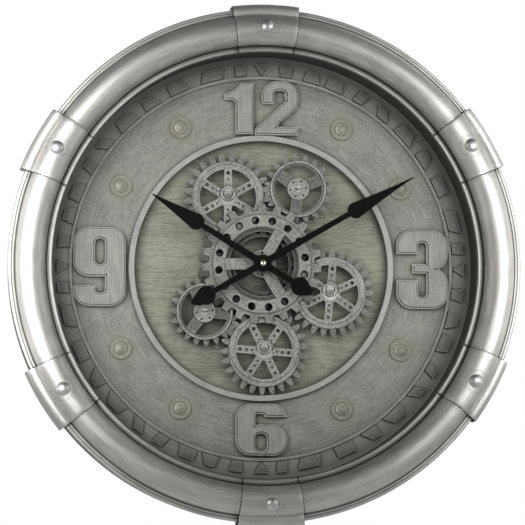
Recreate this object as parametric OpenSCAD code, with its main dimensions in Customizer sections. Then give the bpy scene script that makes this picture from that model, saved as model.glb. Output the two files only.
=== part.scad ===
// Open-front wall clock with a half-round metal rim, a sunk dial and a
// window of turning gears behind black spade hands.
// All sizes are in millimetres. The clock hangs on a wall: +Z is up, the dial
// faces -Y and the wall plane is Y = 0. Each piece is drawn lying flat, with
// its height counted from the wall, and stand_up() turns it to face -Y.

/* [Rim and case] */
// Radius of the bead's round section
bead_r = 2.5; // [2:0.1:3]
// Half the width of the rim's arch
arch_half_w = 18.5; // [16:0.1:22]
// Width of the flat foot from the well to the arch
inner_foot_w = 7.6; // [4:0.1:10]
// Width of the flat foot from the arch to the bead's outer edge
outer_foot_w = 7.4; // [6:0.1:9]
// Rise of the arch over its feet
arch_rise = 15; // [12:0.5:18]
// Distance of the arch's feet from the wall
rim_base_h = 76; // [64:1:84]
// Sheet thickness of the rim, the straps' band and the drums
sheet_t = 1.2; // [0.8:0.1:1.6]
// Thickness of the back panel
panel_t = 3; // [2.5:0.5:4]
// Number of straps over the rim
strap_count = 6; // [4:1:8]
// Angle that one strap covers
strap_angle = 14.75; // [10:0.25:20]
// Thickness of a strap
strap_t = 1.4; // [1:0.1:1.8]
// How far a strap stands out past the bead
strap_reach = 5.4; // [4:0.1:8]
// Distance of a strap's foot from the wall
strap_foot_h = 46; // [20:1:54]
// How far the strap rivets stand out from the arch's crown
rivet_shift = 4.4; // [0:0.1:8]
// Radius of a strap rivet's head
rivet_head_r = 7.85; // [6:0.05:9]
// Height of a strap rivet's dome
rivet_dome_h = 4.2; // [3:0.1:6]

/* [Dial] */
// Distance of the dial's face from the wall
dial_h = 28; // [28:0.5:32]
// Thickness of the dial plate
dial_t = 1.5; // [1:0.1:2]
// Width of the window ring
window_w = 6; // [4:0.5:9]
// Height of the window ring over the dial
window_rise = 5; // [3:0.5:6]
// Width of the field between the window ring and the raised lip
field_w = 67; // [60:0.5:76]
// Width of the raised lip
lip_w = 3; // [2:0.1:5]
// Gap between the lip and the blocks
block_gap = 1.5; // [1:0.1:3]
// Length of a block along the radius
block_w = 13; // [9:0.5:16]
// Width of the band between the blocks and the well
band_edge_w = 8; // [5:0.5:12]
// Height of the blocks over their band
block_rise = 3; // [2:0.5:4]
// How far the studs and the 3 and 9 stand out from the middle of the field
hour_shift = 1; // [-2:0.5:2]
// Gap between a numeral and the edges of the field
figure_gap = 3; // [1:0.5:5]
// Height of a numeral's slab over the dial
numeral_slab = 5; // [3:0.5:6]
// Height of a numeral's face over its slab
numeral_face = 2; // [1:0.5:2.5]
// Width of the step round a numeral's face
numeral_step = 2.4; // [1.8:0.1:2.6]
// Radius of an hour stud's washer
washer_r = 12.8; // [10:0.1:14]
// Thickness of an hour stud's washer
washer_t = 1.6; // [1:0.1:2.5]
// Radius of an hour stud's dome
dome_r = 7; // [6:0.1:8]
// Height of an hour stud's dome
dome_h = 2.4; // [1.6:0.1:4]

/* [Gear train] */
// Rise of the arbor over the centre of the dial
arbor_rise = 4.5; // [4:0.1:5]
// Module of the meshing gears
gear_module = 3.8; // [3.6:0.05:4.2]
// Gap between the tips of the large satellites and the window ring
window_clear = 10.8; // [8:0.1:14]
// Thinning of each tooth for backlash, at the pitch circle
tooth_thinning = 0.5; // [0.4:0.05:0.8]
// Distance of the gear plate's face from the wall
plate_h = 22; // [21.8:0.1:22.4]
// Thickness of the gear plate
plate_t = 1.5; // [1:0.1:1.6]
// How far the gear plate reaches out past the window ring
plate_margin = 9.5; // [8.5:0.5:14]
// Thickness of a meshing gear
gear_t = 3; // [2:0.1:3.2]
// Thickness of a front ring or spoked ring
ring_t = 1.5; // [1:0.1:1.6]
// Distance from the front wheel's tips to the axes of the large satellites
front_clear = 17.5; // [14:0.1:22]
// Depth of a tooth of the front wheel and of the rear wheel
front_tooth_h = 7.9; // [6:0.1:9]
// Distance from the rear wheel's tips to the axes of the large satellites
rear_clear = 15.4; // [13:0.1:20]
// Radius of a hole in the centre ring
ring_hole_r = 4.9; // [3:0.1:5.5]
// Radius of the sleeve on which the centre gears turn
sleeve_r = 7; // [6.5:0.1:7.4]
// Radius of the posts under the large satellites
post_r = 3; // [2.5:0.1:3.5]
// Radius of the shafts of the small satellites
shaft_r = 2; // [1.5:0.1:2.5]

/* [Hands] */
// Length of the minute hand from the arbor to its tip
minute_len = 205; // [180:0.5:215]
// Length of the hour hand from the arbor to its tip
hour_len = 152; // [130:0.5:160]
// Thickness of a hand
hand_t = 1.2; // [0.8:0.1:1.4]
// Radius of the hub disc of a hand
hand_hub_r = 9.9; // [8:0.1:12]
// Radius of the cap nut
cap_r = 3.9; // [3:0.1:5]
// Hour shown at rest
rest_hour = 10; // [0:1:11]
// Minute shown at rest
rest_minute = 10; // [0:1:59]
// Angle by which the hour hand is set back, as photographed
hour_back_angle = 3.5; // [0:0.5:6]

/* [Movement] */
// Room in the movement's case at the two ends of its dry cell
case_end_w = 12; // [10:0.5:14]
// Height of the movement's case
case_l = 56; // [54:0.5:60]
// Radius of the threaded bush that carries the movement
bush_r = 4; // [3.8:0.05:4.1]
// Radius of the hour pipe
pipe_r = 2.5; // [2.3:0.05:2.7]
// Radius of the minute arbor
arbor_r = 1.5; // [1.3:0.05:1.6]
// Distance between the arbor and the reversing wheel
motion_dist = 12; // [12:0.1:12.2]
// Radius of a dry cell
cell_r = 7.15; // [7:0.01:7.2]
// Length of a dry cell
cell_l = 50; // [49:0.1:50.5]

/* [Hanger] */
// Radius of the keyhole's round end
key_r = 5; // [4.5:0.1:6]
// Width of the keyhole's slot
key_slot_w = 4.6; // [4:0.1:5]
// Length of the keyhole's slot
key_slot_l = 13; // [11:0.5:16]
// Distance of the keyhole below the bead's outer edge
key_drop = 95; // [85:1:105]

/* [Hidden] */
$fn = 96;
// Facets of the large turned pieces and of the small rounded corners
turned_facets = 180;
corner_facets = 48;
soft_facets = 24;
// Running gap between a turning piece and its seat
run_gap = 0.05;
// Gap between fixed pieces that seat on each other
seat_gap = 0.05;
// Free gap between pieces that pass each other
free_gap = 0.5;
// Overrun of every cut
cut = 1;

// Teeth of the meshing gears
upper_teeth = 21;
lower_teeth = 27;
large_teeth = 25;
small_teeth = 19;
// Spacing of gear axes
large_dist = gear_module * (upper_teeth + large_teeth) / 2;
small_dist = gear_module * (lower_teeth + small_teeth) / 2;
pair_dist = gear_module * (large_teeth + small_teeth) / 2;
// Radii of the face, worked out from the gear train outwards
window_in_r = large_dist + gear_module * (large_teeth / 2 + 1) + window_clear;
window_out_r = window_in_r + window_w;
field_mid_r = window_out_r + field_w / 2;
hour_r = field_mid_r + hour_shift;
lip_r = window_out_r + field_w + lip_w;
block_in_r = lip_r + block_gap;
block_out_r = block_in_r + block_w;
well_r = block_out_r + band_edge_w;
arch_mid_r = well_r + inner_foot_w + arch_half_w;
rim_r = arch_mid_r + arch_half_w + outer_foot_w;
rivet_pos_r = arch_mid_r + rivet_shift;
plate_r = window_out_r + plate_margin;
front_tip_r = large_dist - front_clear;
rear_tip_r = large_dist - rear_clear;
key_z = rim_r - key_drop;

// Turns a piece drawn flat on the wall so that it faces -Y
module stand_up() {
    rotate([90, 0, 0]) children();
}

// Point at radius r and angle a, counted clockwise from twelve o'clock
function clock_point(r, a) = [r * sin(a), r * cos(a)];

// Places a piece at radius r and clockwise angle a, turned with the angle
module on_clock(r, a) {
    rotate([0, 0, -a]) translate([0, r, 0]) children();
}

// Flat ring or disc between two heights; no bore where r_in is 0
module ring(r_out, r_in, h_low, h_high) {
    translate([0, 0, h_low])
        difference() {
            cylinder(r = r_out, h = h_high - h_low);
            if (r_in > 0)
                translate([0, 0, -cut]) cylinder(r = r_in, h = h_high - h_low + 2 * cut);
        }
}

// Dome with a base circle of radius r and a height of h, as a cap of a sphere
module dome(r, h) {
    ball_r = (r * r + h * h) / (2 * h);
    rotate_extrude()
        intersection() {
            translate([0, h - ball_r]) circle(r = ball_r);
            square([r, h]);
        }
}

// Flat outlines with a box given as left, right, bottom and top shares of
// half the width and half the height
module share_box(shares, w, h) {
    translate([shares[0] * w / 2, shares[2] * h / 2])
        square([(shares[1] - shares[0]) * w / 2, (shares[3] - shares[2]) * h / 2]);
}

module round_box(w, h, r) {
    square([w - 2 * r, h], center = true);
    square([w, h - 2 * r], center = true);
    for (x = [-1, 1], y = [-1, 1])
        translate([x * (w / 2 - r), y * (h / 2 - r)]) circle(r = r, $fn = corner_facets);
}

module share_round_box(shares, w, h, r) {
    translate([(shares[0] + shares[1]) * w / 4, (shares[2] + shares[3]) * h / 4])
        round_box((shares[1] - shares[0]) * w / 2, (shares[3] - shares[2]) * h / 2, r);
}

// Rim and case
bead_mid_r = rim_r - bead_r;
bead_h = rim_base_h - bead_r - sheet_t;
arch_r = (pow(arch_half_w, 2) + pow(arch_rise, 2)) / (2 * arch_rise);
arch_mid_h = rim_base_h + arch_rise - arch_r;
arch_in_r = arch_mid_r - arch_half_w;
arch_out_r = arch_mid_r + arch_half_w;
well_out_r = well_r + sheet_t;
rim_lip_r = well_out_r + seat_gap;
rim_lip_rise = 2;
rim_lip_drop = 6;
drum_r = rim_r - 2 * bead_r - seat_gap;
drum_flange_w = 10;
drum_flange_h = panel_t + seat_gap;
panel_r = drum_r - sheet_t - seat_gap;
rivet_shank_r = 3;
// Depth of the flat on which a rivet's head sits
rivet_seat = 0.6;
strap_bend_r = strap_reach + 2 * bead_r - strap_t;
strap_bend_x = rim_r - 2 * bead_r + strap_t;
strap_out_r = rim_r + strap_reach;
strap_arch_r = arch_r + seat_gap;
strap_in_r = arch_in_r + sheet_t;
// Clockwise angles by which the straps stand off their even places, as photographed
strap_shifts = [0, -0.5, -1.2, -1.2, -1.7, -1.5];

// Clockwise angle of strap k from the top
function strap_place(k) = k * 360 / strap_count + strap_shifts[k % len(strap_shifts)];

module arch_band(r_low, r_high, side_in, side_out) {
    intersection() {
        translate([arch_mid_r, arch_mid_h])
            difference() {
                circle(r = r_high);
                circle(r = r_low);
            }
        translate([side_in, rim_base_h - sheet_t])
            square([side_out - side_in, arch_rise + 2 * strap_t + sheet_t + cut]);
    }
}

module rim_profile() {
    arch_band(arch_r - sheet_t, arch_r, arch_in_r, arch_out_r);
    translate([bead_mid_r, bead_h]) circle(r = bead_r);
    translate([arch_out_r - 2 * sheet_t, rim_base_h - sheet_t])
        square([bead_mid_r - arch_out_r + 2 * sheet_t, sheet_t]);
    translate([bead_mid_r - sheet_t, bead_h]) square([sheet_t, rim_base_h - bead_h]);
    translate([rim_lip_r, rim_base_h - sheet_t])
        square([arch_in_r + 2 * sheet_t - rim_lip_r, sheet_t]);
    translate([rim_lip_r, rim_base_h - rim_lip_drop])
        square([sheet_t, rim_lip_drop + rim_lip_rise]);
}

// Places a child on the crown side of the arch, where a rivet stands
module at_rivets(extra) {
    lean = asin((rivet_pos_r - arch_mid_r) / strap_arch_r);
    for (k = [0 : strap_count - 1])
        rotate([0, 0, -strap_place(k)])
            translate([0, arch_mid_r, arch_mid_h])
                rotate([-lean, 0, 0]) translate([0, 0, strap_arch_r + extra]) children();
}

module rivet_holes() {
    at_rivets(-rivet_dome_h)
        cylinder(r = rivet_shank_r + seat_gap, h = 2 * rivet_dome_h);
}

module rim_ring() {
    color("silver") stand_up()
        difference() {
            rotate_extrude($fn = turned_facets) rim_profile();
            rivet_holes();
        }
}

module strap_profile() {
    arch_band(strap_arch_r, strap_arch_r + strap_t, strap_in_r, arch_out_r);
    // Bend over the bead, from the arch's foot to the leg
    translate([strap_bend_x, bead_h])
        intersection() {
            difference() {
                circle(r = strap_bend_r);
                circle(r = strap_bend_r - strap_t);
            }
            translate([arch_out_r - sheet_t / 2 - strap_bend_x, 0])
                square([strap_bend_r + outer_foot_w + cut, strap_bend_r + cut]);
        }
    translate([strap_out_r - strap_t, strap_foot_h])
        square([strap_t, bead_h - strap_foot_h]);
    translate([drum_r + seat_gap, strap_foot_h])
        square([strap_out_r - drum_r - seat_gap, strap_t]);
}

module rim_straps() {
    color("gainsboro") stand_up()
        difference() {
            for (k = [0 : strap_count - 1])
                rotate([0, 0, 90 - strap_angle / 2 - strap_place(k)])
                    rotate_extrude(angle = strap_angle, $fn = turned_facets) strap_profile();
            rivet_holes();
            at_rivets(strap_t - rivet_seat - seat_gap)
                cylinder(r = rivet_head_r + seat_gap, h = strap_t);
        }
}

module strap_rivets() {
    color("white") stand_up()
        at_rivets(strap_t - rivet_seat) {
            dome(rivet_head_r, rivet_dome_h);
            translate([0, 0, -2 * strap_t - sheet_t])
                cylinder(r = rivet_shank_r, h = 2 * strap_t + sheet_t + rivet_dome_h / 2);
        }
}

module side_drum() {
    color("dimgray") stand_up()
        difference() {
            union() {
                ring(drum_r, drum_r - sheet_t, 0, rim_base_h - sheet_t - seat_gap);
                ring(drum_r - sheet_t / 2, drum_r - sheet_t - drum_flange_w, drum_flange_h,
                    drum_flange_h + sheet_t);
            }
            at_panel_screws()
                cylinder(r = panel_screw_r + seat_gap, h = 2 * panel_screw_len);
        }
}

dial_back_h = dial_h - dial_t;
shelf_w = 12;
foot_w = 12;

module well_wall() {
    color("darkslategray") stand_up() {
        ring(well_out_r, well_r, panel_t + seat_gap, rim_base_h + sheet_t);
        ring(well_r + sheet_t / 2, well_r - shelf_w, dial_back_h - sheet_t - seat_gap,
            dial_back_h - seat_gap);
        ring(well_out_r + foot_w, well_out_r - sheet_t / 2, panel_t + seat_gap,
            panel_t + seat_gap + sheet_t);
    }
}

// Back panel with its screws, service windows and keyhole
panel_screw_r = 2;
panel_head_r = 3.8;
panel_head_t = 1.6;
panel_screw_count = 12;
panel_screw_pos_r = drum_r - sheet_t - drum_flange_w / 2;
panel_screw_len = 8;
knob_r = 7;
knob_window_r = knob_r + 5 * free_gap;
window_gap = 2;

module at_panel_screws() {
    for (k = [0 : panel_screw_count - 1])
        on_clock(panel_screw_pos_r, (k + 0.5) * 360 / panel_screw_count) children();
}

module back_panel() {
    color("saddlebrown") stand_up()
        difference() {
            ring(panel_r, 0, 0, panel_t);
            at_panel_screws() {
                translate([0, 0, -cut])
                    cylinder(r = panel_screw_r + seat_gap, h = panel_t + 2 * cut);
                translate([0, 0, -cut])
                    cylinder(r = panel_head_r + seat_gap, h = panel_head_t + seat_gap + cut);
            }
            translate([0, 0, -cut]) {
                at_arbor() {
                    translate(knob_pos) cylinder(r = knob_window_r, h = panel_t + 2 * cut);
                    translate([cell_x - window_gap, cell_y - cell_r, 0])
                        cube([cell_l + 2 * window_gap, 2 * cell_r, panel_t + 2 * cut]);
                }
                translate([box_x - box_w / 2 + box_wall, box_y - box_l / 2 + box_wall, 0])
                    cube([box_w - 2 * box_wall, box_l - 2 * box_wall, panel_t + 2 * cut]);
            }
            translate([0, key_z + key_slot_l / 2, panel_t - key_plate_t])
                cylinder(r = key_plate_r + seat_gap, h = key_plate_t + cut);
            translate([0, key_z + key_slot_l / 2, -cut])
                cylinder(r = key_plate_r - key_ledge_w, h = panel_t + 2 * cut);
        }
}

module panel_screws() {
    color("lightgray") stand_up()
        at_panel_screws() {
            cylinder(r = panel_head_r, h = panel_head_t);
            cylinder(r = panel_screw_r, h = panel_screw_len);
        }
}

// Keyhole plate, let into the panel from inside
key_plate_t = 1.5;
key_ledge_w = 3;
key_plate_r = key_slot_l / 2 + key_r + 2 * key_ledge_w;

module hanger_plate() {
    color("lightsteelblue") stand_up()
        difference() {
            translate([0, key_z + key_slot_l / 2, panel_t - key_plate_t + seat_gap])
                cylinder(r = key_plate_r, h = key_plate_t);
            translate([0, key_z, 0]) cylinder(r = key_r, h = panel_t + cut);
            translate([-key_slot_w / 2, key_z, 0]) cube([key_slot_w, key_slot_l, panel_t + cut]);
            translate([0, key_z + key_slot_l, 0]) cylinder(d = key_slot_w, h = panel_t + cut);
        }
}

// Dial
band_t = 0.8;
band_r = well_r - 2 * seat_gap;
window_skirt = 0.9;
// Each block in one quadrant: clockwise angles from the cardinal of the outer
// end's two corners and of the inner end's two corners
block_angles = [
    [5.3, 9.1, 5.9, 8.5], [13.4, 16.1, 12.6, 17.6], [19.7, 23.8, 19.4, 24.8],
    [29.3, 32.3, 28.4, 31.4], [35.5, 38.6, 37.4, 40.6], [44.6, 48.8, 43.7, 50.7],
    [53.9, 56.5, 53.5, 58.8], [62.2, 67.5, 62.2, 67.9], [73.4, 79.6, 72, 78.1],
    [82.7, 85.7, 82.3, 85.1]];
wedge_angle = 1.9;

module dial_plate() {
    color("gray") stand_up()
        ring(well_r - seat_gap, window_in_r + window_skirt + seat_gap, dial_back_h, dial_h);
}

module block_band() {
    base_h = dial_h + seat_gap;
    color("darkgray") stand_up() {
        ring(band_r, lip_r - lip_w, base_h, base_h + band_t);
        ring(lip_r, lip_r - lip_w, base_h, base_h + band_t + block_rise / 2);
        for (q = [0 : 3]) rotate([0, 0, -90 * q])
            translate([0, 0, base_h]) linear_extrude(band_t + block_rise) {
                for (b = block_angles)
                    polygon([clock_point(block_out_r, b[0]), clock_point(block_out_r, b[1]),
                        clock_point(block_in_r, b[3]), clock_point(block_in_r, b[2])]);
                polygon([clock_point(block_out_r, -wedge_angle),
                    clock_point(block_out_r, wedge_angle), clock_point(block_in_r, 0)]);
            }
    }
}

module window_ring() {
    color("silver") stand_up()
        difference() {
            union() {
                ring(window_out_r, 0, dial_h + seat_gap, dial_h + window_rise);
                ring(window_in_r + window_skirt, 0, dial_back_h, dial_h + window_rise / 2);
            }
            translate([0, 0, -cut]) cylinder(r = window_in_r, h = dial_h + window_rise + 2 * cut);
        }
}

// Numerals: heavy slab figures, each with a step round a raised face
tall_w = field_w - 2 * figure_gap;
tall_l = 92;
six_w = 61;
six_less = 1;
six_l = tall_w - six_less;
twelve_w = 87;
twelve_l = tall_w;
twelve_shift = 2;
twelve_r = field_mid_r - twelve_shift;
six_r = field_mid_r;
three_slot_shares = [-0.17, 0.17, -0.71, 0.69];
three_window_shares = [-1.1, 0.02, -0.28, 0.4];
three_tongue_shares = [-0.38, 0.4, -0.1, 0.14];
three_upper_shares = [-1, 1, -0.02, 1];
three_lower_shares = [-1, 1, -1, 0.04];
nine_gap_shares = [-1.1, 0.22, -0.48, 0.2];
nine_bowl_shares = [-1, 0.7, -0.25, 1];
nine_counter_shares = [-0.18, 0.22, 0.05, 0.72];
nine_hook_shares = [-0.16, 0.22, -0.67, -0.3];
six_gap_shares = [-0.24, 1.1, -0.3, 0.5];
six_bowl_shares = [-0.6, 1, -1, 0.18];
six_counter_shares = [-0.25, 0.22, -0.83, -0.15];
six_top_shares = [-0.24, 0.12, 0.2, 0.62];
// Corners of the figures one and two, as shares of half the width and height
one_shares = [[-0.7, -0.97], [-0.22, -0.97], [-0.22, 0.98], [-0.55, 0.98], [-0.72, 0.74],
    [-1, 0.55], [-1, 0.34], [-0.78, 0.34], [-0.7, 0.24]];
two_bowl_shares = [0.01, 1, -0.12, 1];
two_gap_shares = [-0.05, 0.34, -0.4, 0.2];
two_cut_shares = [[0.01, 0.2], [0.34, 0.2], [0.34, 0.3], [0.69, 0.43], [-0.06, -0.75],
    [-0.2, -0.6]];
two_counter_shares = [0.34, 0.66, 0.02, 0.72];
two_leg_shares = [[0.62, 0.6], [1, 0.45], [0.96, 0.05], [0.75, -0.25], [0.5, -0.5],
    [0.44, -0.68], [1, -0.68], [1, -1], [-0.18, -1], [-0.18, -0.78], [0.66, 0.33]];
corner_share = 0.3;

function share_points(shares, w, h) = [for (p = shares) [p[0] * w / 2, p[1] * h / 2]];

module figure_three() {
    corner = corner_share * tall_w;
    difference() {
        union() {
            share_round_box(three_upper_shares, tall_w, tall_l, corner);
            share_round_box(three_lower_shares, tall_w, tall_l, corner);
        }
        share_round_box(three_slot_shares, tall_w, tall_l, corner / 4);
        share_box(three_window_shares, tall_w, tall_l);
    }
    share_box(three_tongue_shares, tall_w, tall_l);
}

module figure_nine() {
    corner = corner_share * tall_w;
    difference() {
        union() {
            difference() {
                round_box(tall_w, tall_l, corner);
                share_box(nine_gap_shares, tall_w, tall_l);
            }
            share_round_box(nine_bowl_shares, tall_w, tall_l, corner);
        }
        share_round_box(nine_counter_shares, tall_w, tall_l, corner / 3);
        share_round_box(nine_hook_shares, tall_w, tall_l, corner / 4);
    }
}

module figure_six() {
    corner = corner_share * six_l;
    difference() {
        union() {
            difference() {
                round_box(six_w, six_l, corner);
                share_box(six_gap_shares, six_w, six_l);
                share_round_box(six_top_shares, six_w, six_l, corner / 5);
            }
            share_round_box(six_bowl_shares, six_w, six_l, corner);
        }
        share_round_box(six_counter_shares, six_w, six_l, corner / 3);
    }
}

module figure_twelve() {
    corner = corner_share * twelve_l;
    polygon(share_points(one_shares, twelve_w, twelve_l));
    difference() {
        share_round_box(two_bowl_shares, twelve_w, twelve_l, corner);
        share_round_box(two_counter_shares, twelve_w, twelve_l, corner / 4);
        share_box(two_gap_shares, twelve_w, twelve_l);
        polygon(share_points(two_cut_shares, twelve_w, twelve_l));
    }
    polygon(share_points(two_leg_shares, twelve_w, twelve_l));
}

// Slab and raised face of a numeral, from its outline
module numeral(x, y) {
    soft = numeral_step / 3;
    color("lightgray") stand_up() translate([x, y, dial_h + seat_gap]) {
        linear_extrude(numeral_slab)
            offset(r = soft, $fn = soft_facets) offset(delta = -soft) children();
        linear_extrude(numeral_slab + numeral_face)
            offset(delta = -numeral_step) children();
    }
}

module numeral_12() {
    numeral(0, twelve_r) figure_twelve();
}

module numeral_3() {
    numeral(hour_r, 0) figure_three();
}

module numeral_6() {
    numeral(0, -six_r) figure_six();
}

module numeral_9() {
    numeral(-hour_r, 0) figure_nine();
}

// Clockwise angles of the eight hours that have a stud in place of a numeral
stud_angles = [30, 60, 120, 150, 210, 240, 300, 330];

module stud_washers() {
    color("tan") stand_up()
        for (angle = stud_angles) on_clock(hour_r, angle)
            ring(washer_r, 0, dial_h + seat_gap, dial_h + seat_gap + washer_t);
}

module stud_domes() {
    color("wheat") stand_up()
        for (angle = stud_angles) on_clock(hour_r, angle)
            translate([0, 0, dial_h + washer_t + 2 * seat_gap]) dome(dome_r, dome_h);
}

// Gear train: the centre stack turns on a fixed sleeve, five satellites turn
// round it. Heights of the layers, counted from the wall
layer_gap = 1;
rear_h = plate_h + 1.5 * layer_gap;
rear_t = gear_t - free_gap;
lower_h = rear_h + rear_t + layer_gap;
upper_h = lower_h + gear_t + layer_gap;
sat_ring_h = upper_h + gear_t + seat_gap;
front_h = sat_ring_h + ring_t + free_gap;
front_t = 2;
centre_ring_h = front_h + front_t + seat_gap;
stack_top_h = centre_ring_h + ring_t + 2 * layer_gap;

front_teeth = 23;
rear_teeth = 23;
pressure = 20;
// Depth of a tooth below the pitch circle, as a share of the module
dedendum_share = 1.25;
// Steps along a flank of the train's teeth and of the movement's fine teeth
flank_steps = 3;
fine_steps = 2;
// Clockwise angles from gear to gear
gear_1_angle = -27;
gear_3_angle = 112.4;
gear_5_angle = -130;
gear_2_angle = 82.6;
gear_4_angle = 123;

gear_1_pos = clock_point(large_dist, gear_1_angle);
gear_3_pos = clock_point(large_dist, gear_3_angle);
gear_5_pos = clock_point(small_dist, gear_5_angle);
gear_2_pos = gear_1_pos + clock_point(pair_dist, gear_2_angle);
gear_4_pos = gear_5_pos + clock_point(pair_dist, gear_4_angle);

// Clockwise angle of a tooth of gear b that meshes with gear a, where a has
// a tooth at phase_a and b lies at the clockwise angle line from a
function mesh_phase(line, teeth_a, phase_a, teeth_b) =
    line + 180 + ((line - phase_a) * teeth_a / 360 + 0.5) * 360 / teeth_b;

upper_phase = 3;
gear_1_phase = mesh_phase(gear_1_angle, upper_teeth, upper_phase, large_teeth);
gear_3_phase = mesh_phase(gear_3_angle, upper_teeth, upper_phase, large_teeth);
gear_2_phase = mesh_phase(gear_2_angle, large_teeth, gear_1_phase, small_teeth);
gear_5_phase = 6;
gear_4_phase = mesh_phase(gear_4_angle, small_teeth, gear_5_phase, large_teeth);
lower_phase = mesh_phase(gear_5_angle + 180, small_teeth, gear_5_phase, lower_teeth);

module at_arbor() {
    translate([0, arbor_rise, 0]) children();
}

// Involute of an angle in degrees, in degrees
function involute(a) = tan(a) * 180 / PI - a;

// Half the angle that a tooth covers at radius r
function half_tooth(teeth, m, thin, r) =
    let (pitch_r = m * teeth / 2, base_r = pitch_r * cos(pressure))
    90 / teeth - thin / (2 * pitch_r) * 180 / PI
        + involute(pressure) - involute(acos(min(1, base_r / max(r, base_r))));

// Outline of an involute gear with a tooth at the clockwise angle phase
module gear_outline(teeth, m, thin, phase, steps = flank_steps) {
    pitch_r = m * teeth / 2;
    root_r = pitch_r - dedendum_share * m;
    tip_r = pitch_r + m;
    low_r = max(root_r, pitch_r * cos(pressure));
    flank = concat([root_r], [for (i = [0 : steps]) low_r + (tip_r - low_r) * i / steps]);
    polygon([for (k = [0 : teeth - 1], side = [-1, 1], i = [0 : steps + 1])
        let (r = flank[side < 0 ? i : steps + 1 - i])
        clock_point(r, phase + k * 360 / teeth + side * half_tooth(teeth, m, thin, r))]);
}

// Outline of a show wheel with straight-sided teeth
tooth_tip_share = 0.36;
tooth_root_share = 0.58;

module show_wheel_outline(teeth, tip_r, root_r, phase) {
    polygon([for (k = [0 : teeth - 1], side = [-1, 1], end = [0, 1])
        let (outer = side < 0 ? end : 1 - end,
            share = outer > 0 ? tooth_tip_share : tooth_root_share)
        clock_point(outer > 0 ? tip_r : root_r,
            phase + (k + side * share / 2) * 360 / teeth)]);
}

// Openings between a hub and a band, with spokes between them, the first at
// the clockwise angle phase
module spoke_windows(band_in_r, hub_r, count, width, phase) {
    difference() {
        circle(r = band_in_r);
        circle(r = hub_r);
        for (k = [0 : count - 1])
            rotate(-phase - k * 360 / count)
                translate([-width / 2, 0]) square([width, band_in_r + cut]);
    }
}

// Flat wheel: the outline given as child, opened out to a band with spokes
module open_wheel(t, band_in_r, hub_r, bore_r, count, width, phase) {
    difference() {
        linear_extrude(t) children();
        translate([0, 0, -cut]) {
            linear_extrude(t + 2 * cut)
                spoke_windows(band_in_r, hub_r, count, width, phase);
            cylinder(r = bore_r, h = t + 2 * cut);
        }
    }
}

module at_gear(pos, low) {
    color("darkgray") stand_up() at_arbor() translate([pos[0], pos[1], low]) children();
}

// Fixed pieces of the train
sleeve_flange_r = 11;
nut_r = 8.08;
nut_t = 3;
nut_sides = 6;
post_shoulder_r = 5;
post_flange_r = 8;
post_flange_t = 1.2;
post_spigot_r = 3;
gear_bearing_r = 8.6;
screw_head_r = 4.4;
screw_head_t = 1.8;
post_screw_r = 1.2;
post_screw_l = 8;
collar_r = 4;
nose_r = 5;
nose_h = plate_h + layer_gap;
pillar_count = 6;
pillar_r = 4;
pillar_pos_r = (plate_r + window_out_r) / 2;
pillar_spigot_r = 2;
pillar_head_r = 3.2;
pillar_head_t = 0.8;
// The movement's raised pad and the slot in the gear plate that it fills
pad_x = 14.5;
pad_y = -5.5;
pad_w = 22.2;
pad_l = 21.5;
pad_rise = 0.6;
pad_gap = 0.3;

module gear_plate() {
    plate_back = plate_h - plate_t;
    color("darkkhaki") stand_up()
        difference() {
            ring(plate_r, 0, plate_back, plate_h);
            at_arbor() translate([0, 0, plate_back - cut]) {
                cylinder(r = bush_r + seat_gap, h = plate_t + 2 * cut);
                translate([pad_x - pad_gap, pad_y - pad_gap, 0])
                    cube([pad_w + 2 * pad_gap, pad_l + 2 * pad_gap, plate_t + 2 * cut]);
                for (pos = [gear_1_pos, gear_3_pos, gear_4_pos]) translate(pos)
                    cylinder(r = post_spigot_r + seat_gap, h = plate_t + 2 * cut);
                for (pos = [gear_2_pos, gear_5_pos]) translate(pos)
                    cylinder(r = nose_r + seat_gap, h = plate_t + 2 * cut);
            }
            for (k = [0 : pillar_count - 1])
                on_clock(pillar_pos_r, (k + 0.5) * 360 / pillar_count)
                    translate([0, 0, plate_back - cut])
                        cylinder(r = pillar_spigot_r + seat_gap, h = plate_t + 2 * cut);
        }
}

module plate_pillars() {
    plate_back = plate_h - plate_t;
    color("gray") stand_up()
        for (k = [0 : pillar_count - 1])
            on_clock(pillar_pos_r, (k + 0.5) * 360 / pillar_count) {
                ring(pillar_r, 0, plate_h + seat_gap, dial_back_h - seat_gap);
                ring(pillar_spigot_r, 0, plate_back - seat_gap, plate_h + 2 * seat_gap);
                ring(pillar_head_r, 0, plate_back - seat_gap - pillar_head_t,
                    plate_back - seat_gap);
            }
}

module centre_sleeve() {
    color("goldenrod") stand_up() at_arbor() {
        ring(sleeve_flange_r, bush_r + seat_gap, plate_h + seat_gap,
            plate_h + seat_gap + post_flange_t);
        ring(sleeve_r, bush_r + seat_gap, plate_h + seat_gap, stack_top_h + 2 * free_gap);
    }
}

nut_h = stack_top_h + 2 * free_gap + seat_gap;

module bush_nut() {
    color("gold") stand_up() at_arbor()
        difference() {
            translate([0, 0, nut_h]) cylinder(r = nut_r, h = nut_t, $fn = nut_sides);
            translate([0, 0, nut_h - cut]) cylinder(r = bush_r + seat_gap, h = nut_t + 2 * cut);
        }
}

post_top_h = sat_ring_h + ring_t + free_gap;

module gear_posts() {
    color("silver") stand_up() at_arbor()
        for (pos = [gear_1_pos, gear_3_pos, gear_4_pos]) translate(pos)
            difference() {
                union() {
                    ring(post_flange_r, 0, plate_h + seat_gap,
                        plate_h + seat_gap + post_flange_t);
                    ring(post_shoulder_r, 0, plate_h + seat_gap, upper_h - free_gap / 2);
                    ring(post_r, 0, plate_h, post_top_h);
                    ring(post_spigot_r, 0, plate_h - plate_t, plate_h + 2 * seat_gap);
                }
                translate([0, 0, post_top_h - post_screw_l])
                    cylinder(r = post_screw_r + seat_gap, h = post_screw_l + cut);
            }
}

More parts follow.
